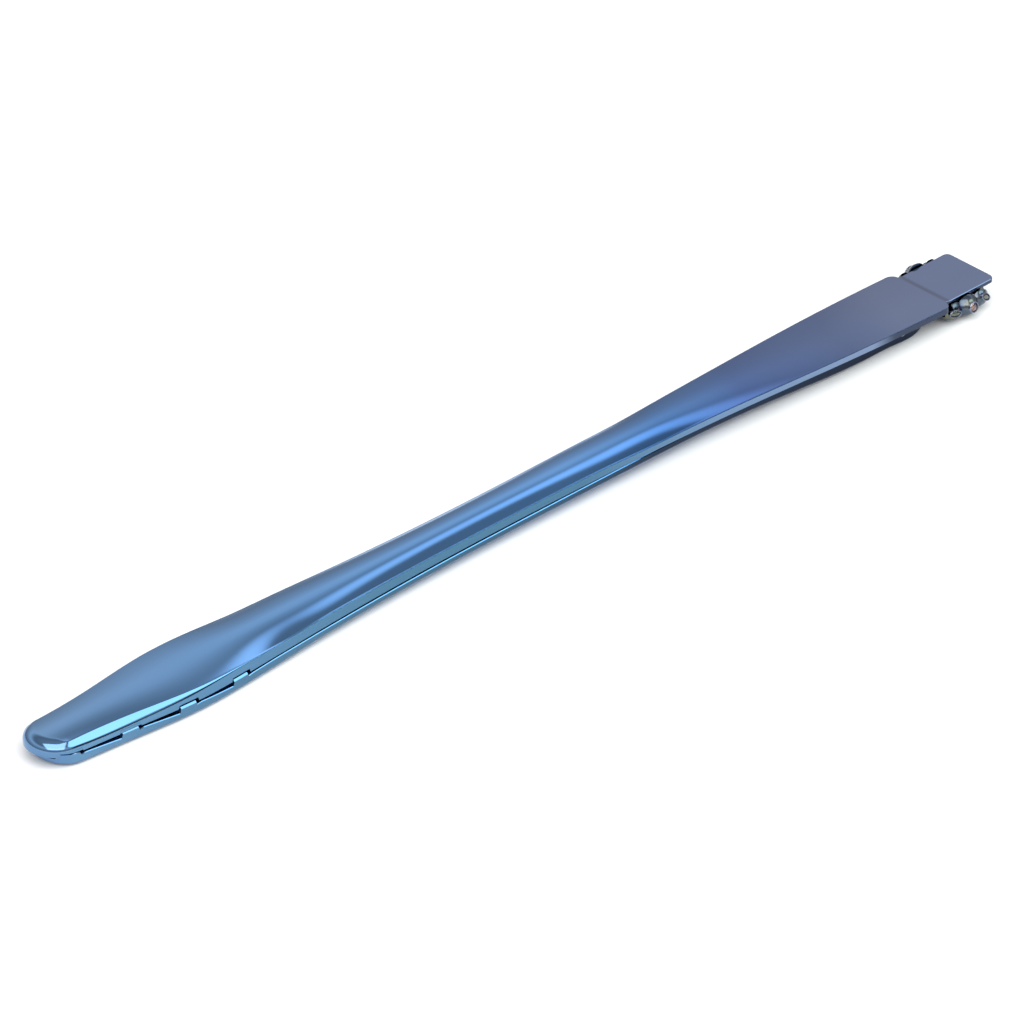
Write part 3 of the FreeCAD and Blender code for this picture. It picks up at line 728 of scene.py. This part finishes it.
def add_petal(bm, angle):
    """One egg-shaped lobe with three grooves that fade towards its top and bottom."""
    centre = petal_centre(angle)
    outward = math.atan2(centre.y, centre.x - FLOWER_X)
    rise = petal_rise(angle)
    rings = []
    for i in range(PETAL_ROWS + 1):
        latitude = math.pi * (i / PETAL_ROWS - 0.5)
        height = math.sin(latitude) * (rise if latitude > 0 else PETAL_DROP)
        ring = []
        for j in range(PETAL_COLUMNS):
            turn = 2 * math.pi * j / PETAL_COLUMNS - math.pi
            cut = groove(turn, GROOVE_TURN) + groove(turn, -GROOVE_TURN)
            cut += MIDDLE_GROOVE * groove(turn, 0.0)
            radius = (PETAL_RADIUS - cut * math.cos(latitude)) * math.cos(latitude)
            around = outward + turn
            ring.append(bm.verts.new(centre + Vector((radius * math.cos(around),
                                                      radius * math.sin(around), height))))
        ring.append(ring[0])
        rings.append(ring)
    grid_faces(bm, rings)


def cut_plane(bm, place, normal):
    """Adds an edge loop where a plane passes through the mesh."""
    everything = list(bm.verts) + list(bm.edges) + list(bm.faces)
    bmesh.ops.bisect_plane(bm, geom=everything, plane_co=place, plane_no=normal, dist=1e-5)


def press_down(bm, inside, level):
    """Lowers the vertices of a region to a level, which leaves an upright step at its edge."""
    for vertex in bm.verts:
        if vertex.co.z > level and inside(vertex.co):
            vertex.co.z = level


def ornament_mesh():
    """Petals round a core, hollowed for the tail and the press tab."""
    bm = bmesh.new()
    for i in range(PETAL_COUNT):
        add_petal(bm, 90.0 + 360.0 / PETAL_COUNT * i)
    for side in (-1, 1):
        cut_plane(bm, (0, side * CHANNEL_HALF_WIDTH, 0), (0, 1, 0))
        cut_plane(bm, (0, side * (CHANNEL_HALF_WIDTH - STEP_WIDTH), 0), (0, 1, 0))
    cut_plane(bm, (FLANGE_RELIEF_X, 0, 0), (1, 0, 0))
    cut_plane(bm, (FLANGE_RELIEF_X - STEP_WIDTH, 0, 0), (1, 0, 0))
    cut_plane(bm, (0, 0, CHANNEL_Z), (0, 0, 1))
    cut_plane(bm, (0, 0, FLANGE_RELIEF_Z), (0, 0, 1))
    press_down(bm, lambda p: p.x < FLANGE_RELIEF_X - STEP_WIDTH / 2, FLANGE_RELIEF_Z)
    press_down(bm, lambda p: abs(p.y) < CHANNEL_HALF_WIDTH - STEP_WIDTH / 2, CHANNEL_Z)
    edge = 0.10
    seat_z = COLLET_BACK_Z - 0.02
    core = [(0.0, COLLET_BACK_Z), (CORE_RADIUS - edge, COLLET_BACK_Z),
            (CORE_RADIUS, COLLET_BACK_Z - edge), (CORE_RADIUS, CORE_BOTTOM_Z + edge),
            (CORE_RADIUS - edge, CORE_BOTTOM_Z), (CENTRE_COLLET_RADIUS, CORE_BOTTOM_Z),
            (CENTRE_COLLET_RADIUS, seat_z), (0.0, seat_z)]
    lathe(bm, core, 72, matrix=AT_FLOWER)
    return cleaned(bm)


def stone_mesh(sides, size, depth, matrix):
    """Faceted stone: table, star and kite facets, girdle and a pointed back."""
    bm = bmesh.new()
    turns = [2 * math.pi * i / sides for i in range(sides)]
    half_step = math.pi / sides
    # share of the girdle's size, height as a share of the depth, turn of the ring
    levels = [(0.56, 0.34, 0.0), (0.82, 0.16, half_step), (1.0, -0.10, 0.0), (1.0, -0.20, 0.0),
              (0.60, -0.62, half_step), (0.14, -1.0, 0.0)]
    rings = []
    for share, height, shift in levels:
        rings.append(oval_ring(bm, (share * size[0], share * size[1]), height * depth,
                               [turn + shift for turn in turns], matrix))
    bm.faces.new(rings[0])
    bm.faces.new(rings[-1][::-1])
    for (low, high), (_, _, low_shift), (_, _, high_shift) in zip(zip(rings, rings[1:]), levels,
                                                                  levels[1:]):
        for i in range(sides):
            j = (i + 1) % sides
            if low_shift == high_shift:
                bm.faces.new([low[i], low[j], high[j], high[i]])
            elif high_shift > low_shift:
                bm.faces.new([low[i], low[j], high[i]])
                bm.faces.new([low[j], high[j], high[i]])
            else:
                bm.faces.new([low[i], low[j], high[j]])
                bm.faces.new([low[i], high[j], high[i]])
    bmesh.ops.recalc_face_normals(bm, faces=bm.faces)
    return bm


def bezel_mesh(outer, inner, stand, matrix, grains):
    """Wall round a stone with a rounded lip, and small raised beads along it."""
    bm = bmesh.new()
    stretch = outer[1] / outer[0]
    width = outer[0] - inner[0]
    lip = stand + 0.02
    profile = [(inner[0], -SEAT_DEPTH), (inner[0], 0.0), (inner[0] + 0.25 * width, lip - 0.02),
               (inner[0] + 0.5 * width, lip), (inner[0] + 0.8 * width, lip - 0.03),
               (outer[0], lip - 0.10), (outer[0], -SEAT_DEPTH), (inner[0], -SEAT_DEPTH)]
    lathe(bm, profile, 48, stretch, matrix)
    middle = (0.5 * (outer[0] + inner[0]), 0.5 * (outer[1] + inner[1]))
    ball_ring(bm, grains, GRAIN_RADIUS, middle, lip - 0.03, matrix)
    return cleaned(bm)


def centre_collet_mesh():
    """Ring round the centre stone with four claws bent over its edge."""
    bm = bmesh.new()
    radius = CENTRE_COLLET_RADIUS
    profile = [(0.0, COLLET_BACK_Z), (radius, COLLET_BACK_Z), (radius, COLLET_RIM_Z + 0.08),
               (radius - 0.06, COLLET_RIM_Z), (radius - 0.2, COLLET_RIM_Z - 0.02),
               (CENTRE_STONE_RADIUS, COLLET_RIM_Z + 0.04), (CENTRE_STONE_RADIUS, COLLET_BACK_Z - 0.15),
               (0.0, COLLET_BACK_Z - 0.15)]
    lathe(bm, profile, 64, matrix=AT_FLOWER)
    ball_ring(bm, CLAW_COUNT, CLAW_RADIUS, (CLAW_RING_RADIUS,) * 2, COLLET_RIM_Z, AT_FLOWER, 0.5)
    return cleaned(bm)


def bead_ring_mesh():
    bm = bmesh.new()
    profile = [(CENTRE_COLLET_RADIUS, BEAD_Z), (BEAD_BAND_RADIUS - 0.04, BEAD_Z),
               (BEAD_BAND_RADIUS, BEAD_Z + 0.04), (BEAD_BAND_RADIUS, CORE_BOTTOM_Z),
               (CENTRE_COLLET_RADIUS, CORE_BOTTOM_Z), (CENTRE_COLLET_RADIUS, BEAD_Z)]
    lathe(bm, profile, 64, matrix=AT_FLOWER)
    ball_ring(bm, BEAD_COUNT, BEAD_RADIUS, (BEAD_RING_RADIUS,) * 2, BEAD_Z, AT_FLOWER)
    return cleaned(bm)


def rivets_mesh():
    """Small rivets whose domed heads stand on the tail."""
    bm = bmesh.new()
    top = TAIL_Z + TAIL_THICKNESS
    head = RIVET_HEAD_RADIUS
    profile = [(0.0, RIVET_FOOT_Z), (RIVET_RADIUS, RIVET_FOOT_Z), (RIVET_RADIUS, top), (head, top),
               (head - 0.02, top + 0.04), (head - 0.14, top + 0.08),
               (head - 0.3, top + RIVET_HEAD_LENGTH), (0.0, top + RIVET_HEAD_LENGTH + 0.01)]
    for x, y in RIVET_PLACES:
        lathe(bm, profile, 32, matrix=Matrix.Translation((x, y, 0)))
    return cleaned(bm)


# -------- materials

def new_material(name):
    material = bpy.data.materials.new(name)
    material.use_nodes = True
    shader = material.node_tree.nodes["Principled BSDF"]
    return material, material.node_tree, shader


def noise_on(tree, scale, detail=4.0, stretch=(1.0, 1.0, 1.0)):
    """Noise in object space; scale is in features per metre."""
    place = tree.nodes.new("ShaderNodeTexCoord")
    mapping = tree.nodes.new("ShaderNodeMapping")
    mapping.inputs["Scale"].default_value = stretch
    noise = tree.nodes.new("ShaderNodeTexNoise")
    noise.inputs["Scale"].default_value = scale
    noise.inputs["Detail"].default_value = detail
    tree.links.new(place.outputs["Object"], mapping.inputs["Vector"])
    tree.links.new(mapping.outputs["Vector"], noise.inputs["Vector"])
    return noise.outputs["Fac"]


def ramp_on(tree, source, stops):
    ramp = tree.nodes.new("ShaderNodeValToRGB")
    ramp.color_ramp.elements[0].position = stops[0][0]
    ramp.color_ramp.elements[0].color = (*stops[0][1], 1.0)
    ramp.color_ramp.elements[1].position = stops[-1][0]
    ramp.color_ramp.elements[1].color = (*stops[-1][1], 1.0)
    for position, color in stops[1:-1]:
        element = ramp.color_ramp.elements.new(position)
        element.color = (*color, 1.0)
    tree.links.new(source, ramp.inputs["Fac"])
    return ramp.outputs["Color"]


def coordinate(tree, kind, axis):
    """One axis of a texture coordinate."""
    place = tree.nodes.new("ShaderNodeTexCoord")
    split = tree.nodes.new("ShaderNodeSeparateXYZ")
    tree.links.new(place.outputs[kind], split.inputs["Vector"])
    return split.outputs[axis]


def share_of(tree, source, start, end, interpolation="LINEAR"):
    """0 where a value is at its start, 1 where it is at its end."""
    share = tree.nodes.new("ShaderNodeMapRange")
    share.interpolation_type = interpolation
    share.inputs["From Min"].default_value = start
    share.inputs["From Max"].default_value = end
    tree.links.new(source, share.inputs["Value"])
    return share.outputs["Result"]


def roughness_on(tree, shader, source, low, high):
    """Roughness that follows a noise between two values."""
    rough = tree.nodes.new("ShaderNodeMapRange")
    rough.inputs["From Min"].default_value = 0.35
    rough.inputs["From Max"].default_value = 0.75
    rough.inputs["To Min"].default_value = low
    rough.inputs["To Max"].default_value = high
    tree.links.new(source, rough.inputs["Value"])
    tree.links.new(rough.outputs["Result"], shader.inputs["Roughness"])


def bump_on(tree, shader, source, strength, distance):
    bump = tree.nodes.new("ShaderNodeBump")
    bump.inputs["Strength"].default_value = strength
    bump.inputs["Distance"].default_value = distance
    tree.links.new(source, bump.inputs["Height"])
    tree.links.new(bump.outputs["Normal"], shader.inputs["Normal"])


# The coating's tint along the clip, as (share of the length, colour). The top's tint is the coating's
# own drift, with painted shade that darkens it from the rear flare to the tab.
TOP_TINT_WITH_PAINTED_SHADE = [(0.08, (0.128, 0.245, 0.430)), (0.32, (0.112, 0.250, 0.480)), (0.62, (0.105, 0.255, 0.530)),
            (0.72, (0.065, 0.175, 0.410)), (0.82, (0.058, 0.110, 0.270)), (0.93, (0.075, 0.108, 0.215)),
            (1.00, (0.110, 0.140, 0.240))]
# Painted light and shade on the upper jaw's side walls: darker along the waist and on the press tab's
# side, lighter on the flange towards the rear
UPPER_WALL_PAINTED_LIGHT_AND_SHADE = [(0.10, (0.130, 0.265, 0.430)), (0.28, (0.095, 0.220, 0.370)),
                   (0.42, (0.075, 0.190, 0.300)), (0.64, (0.075, 0.180, 0.290)),
                   (0.78, (0.160, 0.260, 0.420)), (0.955, (0.200, 0.270, 0.420)),
                   (0.985, (0.050, 0.065, 0.110))]
# Painted shade on the lower jaw's side walls, darker towards the rear, where they sit in shade under
# the upper jaw's flange
LOWER_WALL_PAINTED_SHADE = [(0.10, (0.130, 0.265, 0.430)), (0.24, (0.090, 0.200, 0.320)),
                   (0.42, (0.065, 0.145, 0.225)), (0.60, (0.050, 0.105, 0.170)),
                   (0.72, (0.024, 0.038, 0.068)), (0.95, (0.018, 0.026, 0.048))]


def painted_wall_share(tree):
    """1 on upright side walls, where their painted light and shade goes; 0 on everything that faces up,
    down or along the clip.
    """
    sideways = tree.nodes.new("ShaderNodeMath")
    sideways.operation = "ABSOLUTE"
    tree.links.new(coordinate(tree, "Normal", "Y"), sideways.inputs[0])
    return share_of(tree, sideways.outputs["Value"], 0.80, 0.93)


def blue_mirror_steel(name, painted_wall_stops):
    """Polished steel with a thin blue coating: the tint drifts along it, with haze and hairlines.
    The upright side walls get their own colours along the clip, which are painted light and shade."""
    material, tree, shader = new_material(name)
    shader.inputs["Metallic"].default_value = 1.0
    drift = noise_on(tree, 60.0, 3.0, (0.4, 1.0, 1.0))
    nudge = tree.nodes.new("ShaderNodeMath")
    nudge.operation = "MULTIPLY_ADD"
    nudge.inputs[1].default_value = 0.16
    tree.links.new(drift, nudge.inputs[0])
    along = share_of(tree, coordinate(tree, "Object", "X"), -CLIP_HALF_LENGTH, CLIP_HALF_LENGTH)
    tree.links.new(along, nudge.inputs[2])
    color = ramp_on(tree, nudge.outputs["Value"], TOP_TINT_WITH_PAINTED_SHADE)
    walls = ramp_on(tree, nudge.outputs["Value"], painted_wall_stops)
    tint = mixed(tree, painted_wall_share(tree), color, walls)
    tree.links.new(tint, shader.inputs["Base Color"])
    haze = noise_on(tree, 160.0, 5.0, (0.3, 1.0, 1.0))
    roughness_on(tree, shader, haze, 0.085, 0.15)
    marks = noise_on(tree, 900.0, 3.0, (0.12, 1.0, 1.0))
    bump_on(tree, shader, marks, 0.03, 0.00001)
    return material


def drifting_metal(name, scale, stops, roughness, grain, stretch=(1.0, 1.0, 1.0)):
    """Bare or coated metal whose tint drifts, with hazy and clear spots and fine marks."""
    material, tree, shader = new_material(name)
    shader.inputs["Metallic"].default_value = 1.0
    drift = noise_on(tree, scale, 3.0)
    color = ramp_on(tree, drift, stops)
    tree.links.new(color, shader.inputs["Base Color"])
    haze = noise_on(tree, scale * 2.5, 5.0)
    roughness_on(tree, shader, haze, *roughness)
    scratch = noise_on(tree, grain, 4.0, stretch)
    bump_on(tree, shader, scratch, 0.12, 0.00002)
    return material


def dark_chrome():
    """Cast metal with a dark plating that runs through violet, slate and olive."""
    return drifting_metal("dark_chrome", 700.0,
                          [(0.30, (0.085, 0.080, 0.160)), (0.42, (0.075, 0.105, 0.155)),
                           (0.52, (0.110, 0.130, 0.150)), (0.62, (0.160, 0.165, 0.115)),
                           (0.74, (0.085, 0.115, 0.170))],
                          (0.14, 0.30), 2600.0)


def bright_setting():
    """Plated settings, lighter where they are rubbed."""
    return drifting_metal("bright_setting", 900.0,
                          [(0.35, (0.16, 0.17, 0.27)), (0.52, (0.24, 0.27, 0.36)),
                           (0.68, (0.30, 0.29, 0.28))],
                          (0.08, 0.20), 3000.0)


def drawn_steel(name, stretch):
    """Bare drawn steel with fine lines one way."""
    return drifting_metal(name, 400.0,
                          [(0.35, (0.34, 0.36, 0.40)), (0.55, (0.50, 0.52, 0.55)),
                           (0.70, (0.42, 0.43, 0.46))],
                          (0.18, 0.34), 1500.0, stretch)


def backed_glass(name, deep, pale):
    """Foil-backed glass: two tints in soft zones under a clear glossy face."""
    material, tree, shader = new_material(name)
    zones = noise_on(tree, 1100.0, 2.0)
    color = ramp_on(tree, zones, [(0.38, deep), (0.60, pale)])
    tree.links.new(color, shader.inputs["Base Color"])
    shader.inputs["Metallic"].default_value = 0.75
    shader.inputs["Coat Weight"].default_value = 1.0
    shader.inputs["Coat Roughness"].default_value = 0.02
    wear = noise_on(tree, 2500.0, 4.0)
    roughness_on(tree, shader, wear, 0.04, 0.14)
    return material


def pale_floor():
    material, tree, shader = new_material("pale_floor")
    grain = noise_on(tree, 30.0, 2.0)
    color = ramp_on(tree, grain, [(0.3, (0.92, 0.92, 0.92)), (0.7, (0.95, 0.95, 0.95))])
    tree.links.new(color, shader.inputs["Base Color"])
    shader.inputs["Roughness"].default_value = 0.9
    shader.inputs["Specular IOR Level"].default_value = 0.1
    return material


# -------- stage, light and camera

CAMERA_AZIMUTH = -43.83
CAMERA_ELEVATION = 31.92
CAMERA_DISTANCE = 1.092
CAMERA_LENS = 384.9
AIM_RIGHT = -0.43           # millimetres from the clip's middle to the picture's middle
AIM_UP = 0.70
LIGHT_HEADING = (-0.35, -0.45, 0.82)
LIGHT_DISTANCE = 1.8
LIGHT_SIZE = 2.0
LIGHT_POWER = 34.0

# Brightness of the room by height above the horizon in degrees
ROOM_GREYS = [(0, 0.50), (9, 0.50), (16, 0.66), (22, 0.82), (27, 1.02), (31, 1.22), (36, 1.18),
              (41, 0.80), (46, 0.50), (52, 0.42), (60, 0.50), (90, 0.60)]
# Patches in it: heading, angle of the even middle, angle of the faded edge, colour
SOFT_PATCHES = [
    ((0.59, -0.66, 0.10), 12, 27, (0.05, 0.06, 0.08)),
    ((0.50, -0.56, 0.66), 10, 12.5, (2.9, 3.6, 3.4)),
    ((0.60, -0.52, 0.61), 10, 12.5, (2.9, 3.6, 3.4)),
    ((0.66, 0.33, 0.67), 4.0, 9.5, (2.1, 2.2, 2.4)),
]


def direction(azimuth, elevation):
    """Unit vector from the object towards a viewer at these angles."""
    turn = math.radians(azimuth)
    rise = math.radians(elevation)
    return Vector((math.sin(turn) * math.cos(rise), -math.cos(turn) * math.cos(rise),
                   math.sin(rise)))


def add_camera():
    data = bpy.data.cameras.new("camera")
    data.lens = CAMERA_LENS
    data.sensor_width = 36.0
    data.clip_start = 0.01
    data.clip_end = 50.0
    camera = bpy.data.objects.new("camera", data)
    back = direction(CAMERA_AZIMUTH, CAMERA_ELEVATION)
    right = direction(CAMERA_AZIMUTH + 90, 0)
    up = back.cross(right)
    aim = Vector((0, 0, 1.5 * MM)) + right * AIM_RIGHT * MM - up * AIM_UP * MM
    camera.location = aim + back * CAMERA_DISTANCE
    camera.rotation_mode = "QUATERNION"
    camera.rotation_quaternion = (-back).to_track_quat("-Z", "Y")
    bpy.context.scene.collection.objects.link(camera)
    bpy.context.scene.camera = camera


def add_light():
    """Large soft box overhead, a little towards the camera, that faces the clip."""
    data = bpy.data.lights.new("top_box", "AREA")
    data.shape = "SQUARE"
    data.size = LIGHT_SIZE
    data.energy = LIGHT_POWER
    lamp = bpy.data.objects.new("top_box", data)
    away = Vector(LIGHT_HEADING).normalized()
    lamp.location = away * LIGHT_DISTANCE
    lamp.rotation_mode = "QUATERNION"
    lamp.rotation_quaternion = away.to_track_quat("Z", "Y")
    bpy.context.scene.collection.objects.link(lamp)


def lobe(tree, heading, inner, outer):
    """Smooth round patch of the surroundings: 1 inside one angle of a heading, 0 past another."""
    place = tree.nodes.new("ShaderNodeTexCoord")
    dot = tree.nodes.new("ShaderNodeVectorMath")
    dot.operation = "DOT_PRODUCT"
    dot.inputs[1].default_value = Vector(heading).normalized()
    tree.links.new(place.outputs["Generated"], dot.inputs[0])
    return share_of(tree, dot.outputs["Value"], math.cos(math.radians(outer)),
                    math.cos(math.radians(inner)), "SMOOTHSTEP")


def mixed(tree, share, first, second):
    """Mix of two colours; either may be a socket or a plain colour."""
    mix = tree.nodes.new("ShaderNodeMix")
    mix.data_type = "RGBA"
    tree.links.new(share, mix.inputs["Factor"])
    for socket, value in ((mix.inputs[6], first), (mix.inputs[7], second)):
        if isinstance(value, tuple):
            socket.default_value = (*value, 1.0)
        else:
            tree.links.new(value, socket)
    return mix.outputs[2]


def add_world():
    """Grey room, brightest about 30 degrees up, with one dark and three bright soft patches."""
    world = bpy.data.worlds.new("studio")
    world.use_nodes = True
    tree = world.node_tree
    greys = [(math.sin(math.radians(angle)), (grey, grey, grey)) for angle, grey in ROOM_GREYS]
    room = ramp_on(tree, coordinate(tree, "Generated", "Z"), greys)
    for heading, inner, outer, color in SOFT_PATCHES:
        room = mixed(tree, lobe(tree, heading, inner, outer), room, color)
    background = tree.nodes["Background"]
    tree.links.new(room, background.inputs["Color"])
    bpy.context.scene.world = world


def add_floor():
    bm = bmesh.new()
    bmesh.ops.create_grid(bm, x_segments=8, y_segments=8, size=3.0)
    mesh = bpy.data.meshes.new("floor")
    bm.to_mesh(mesh)
    bm.free()
    floor = bpy.data.objects.new("floor", mesh)
    floor.location.z = -0.0002
    floor.data.materials.append(pale_floor())
    bpy.context.scene.collection.objects.link(floor)


# -------- the whole scene

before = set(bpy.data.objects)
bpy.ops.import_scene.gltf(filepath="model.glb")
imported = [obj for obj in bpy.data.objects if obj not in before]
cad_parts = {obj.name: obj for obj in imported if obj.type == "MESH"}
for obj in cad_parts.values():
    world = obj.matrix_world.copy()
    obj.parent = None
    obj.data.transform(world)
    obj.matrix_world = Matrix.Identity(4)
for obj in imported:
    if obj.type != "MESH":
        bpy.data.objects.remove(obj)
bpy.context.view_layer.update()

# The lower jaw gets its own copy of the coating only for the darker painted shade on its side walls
blue_steel = blue_mirror_steel("blue_mirror_steel", UPPER_WALL_PAINTED_LIGHT_AND_SHADE)
lower_blue_steel_painted_shade = blue_mirror_steel("blue_mirror_steel_lower_painted_shade", LOWER_WALL_PAINTED_SHADE)

chrome = dark_chrome()
setting = bright_setting()
steel_round = drawn_steel("drawn_wire_steel", (1.0, 0.25, 1.0))
steel_flat = drawn_steel("pressed_steel", (0.2, 1.0, 1.0))
violet = backed_glass("violet_glass", (0.10, 0.07, 0.26), (0.42, 0.50, 0.72))
amber = backed_glass("amber_glass", (0.05, 0.05, 0.10), (0.42, 0.25, 0.18))
olive = backed_glass("olive_glass", (0.035, 0.045, 0.040), (0.13, 0.15, 0.10))

upper = linked("upper_jaw_sheet", upper_jaw_mesh(), "upper", blue_steel)
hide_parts("upper_jaw")

lower = linked("lower_jaw_sheet", lower_jaw_mesh(), "lower", lower_blue_steel_painted_shade)
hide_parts("lower_jaw")

pin = linked("hinge_pin_turned", hinge_pin_mesh(), "lower", steel_round)
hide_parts("hinge_pin")

flower = linked("flower_casting", ornament_mesh(), "lower", chrome)
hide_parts("ornament_base")

rivets = linked("rivets_domed", rivets_mesh(), "lower", steel_round)
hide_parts("ornament_rivets")

centre_ring = linked("centre_setting", centre_collet_mesh(), "lower", setting)
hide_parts("centre_collet")

beads = linked("bead_border", bead_ring_mesh(), "lower", setting)
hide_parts("bead_ring")

centre_seat = Matrix.Translation((FLOWER_X, 0, COLLET_RIM_Z)) @ Matrix.Rotation(math.pi, 4, "X")
centre = linked("centre_crystal", stone_mesh(16, (CENTRE_STONE_RADIUS,) * 2, CENTRE_STONE_DEPTH,
                                             centre_seat), "lower", violet)
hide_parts("centre_stone")

for side, place in SIDE_PLACES.items():
    seat = petal_seat(*place)
    collet = linked("side_setting_" + side,
                    bezel_mesh(SIDE_COLLET, SIDE_STONE, COLLET_STAND, seat, SIDE_GRAINS),
                    "lower", setting)
    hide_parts("side_collet_" + side)
    crystal = linked("side_crystal_" + side, stone_mesh(10, SIDE_STONE, STONE_DEPTH, seat),
                     "lower", amber)
    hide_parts("side_stone_" + side)

for corner, place in OVAL_PLACES.items():
    seat = oval_seat(*place)
    rim = linked("oval_setting_" + corner,
                 bezel_mesh(OVAL_BEZEL, OVAL_STONE, BEZEL_STAND, seat, OVAL_GRAINS),
                 "lower", setting)
    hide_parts("oval_bezel_" + corner)
    crystal = linked("oval_crystal_" + corner, stone_mesh(12, OVAL_STONE, STONE_DEPTH, seat),
                     "lower", olive)
    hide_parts("oval_stone_" + corner)

for node, steel in (("hinge_bracket", steel_flat), ("torsion_spring", steel_round)):
    finish_node(node, steel)

add_floor()
add_world()
add_light()
add_camera()
bpy.context.scene.view_settings.view_transform = "Standard"
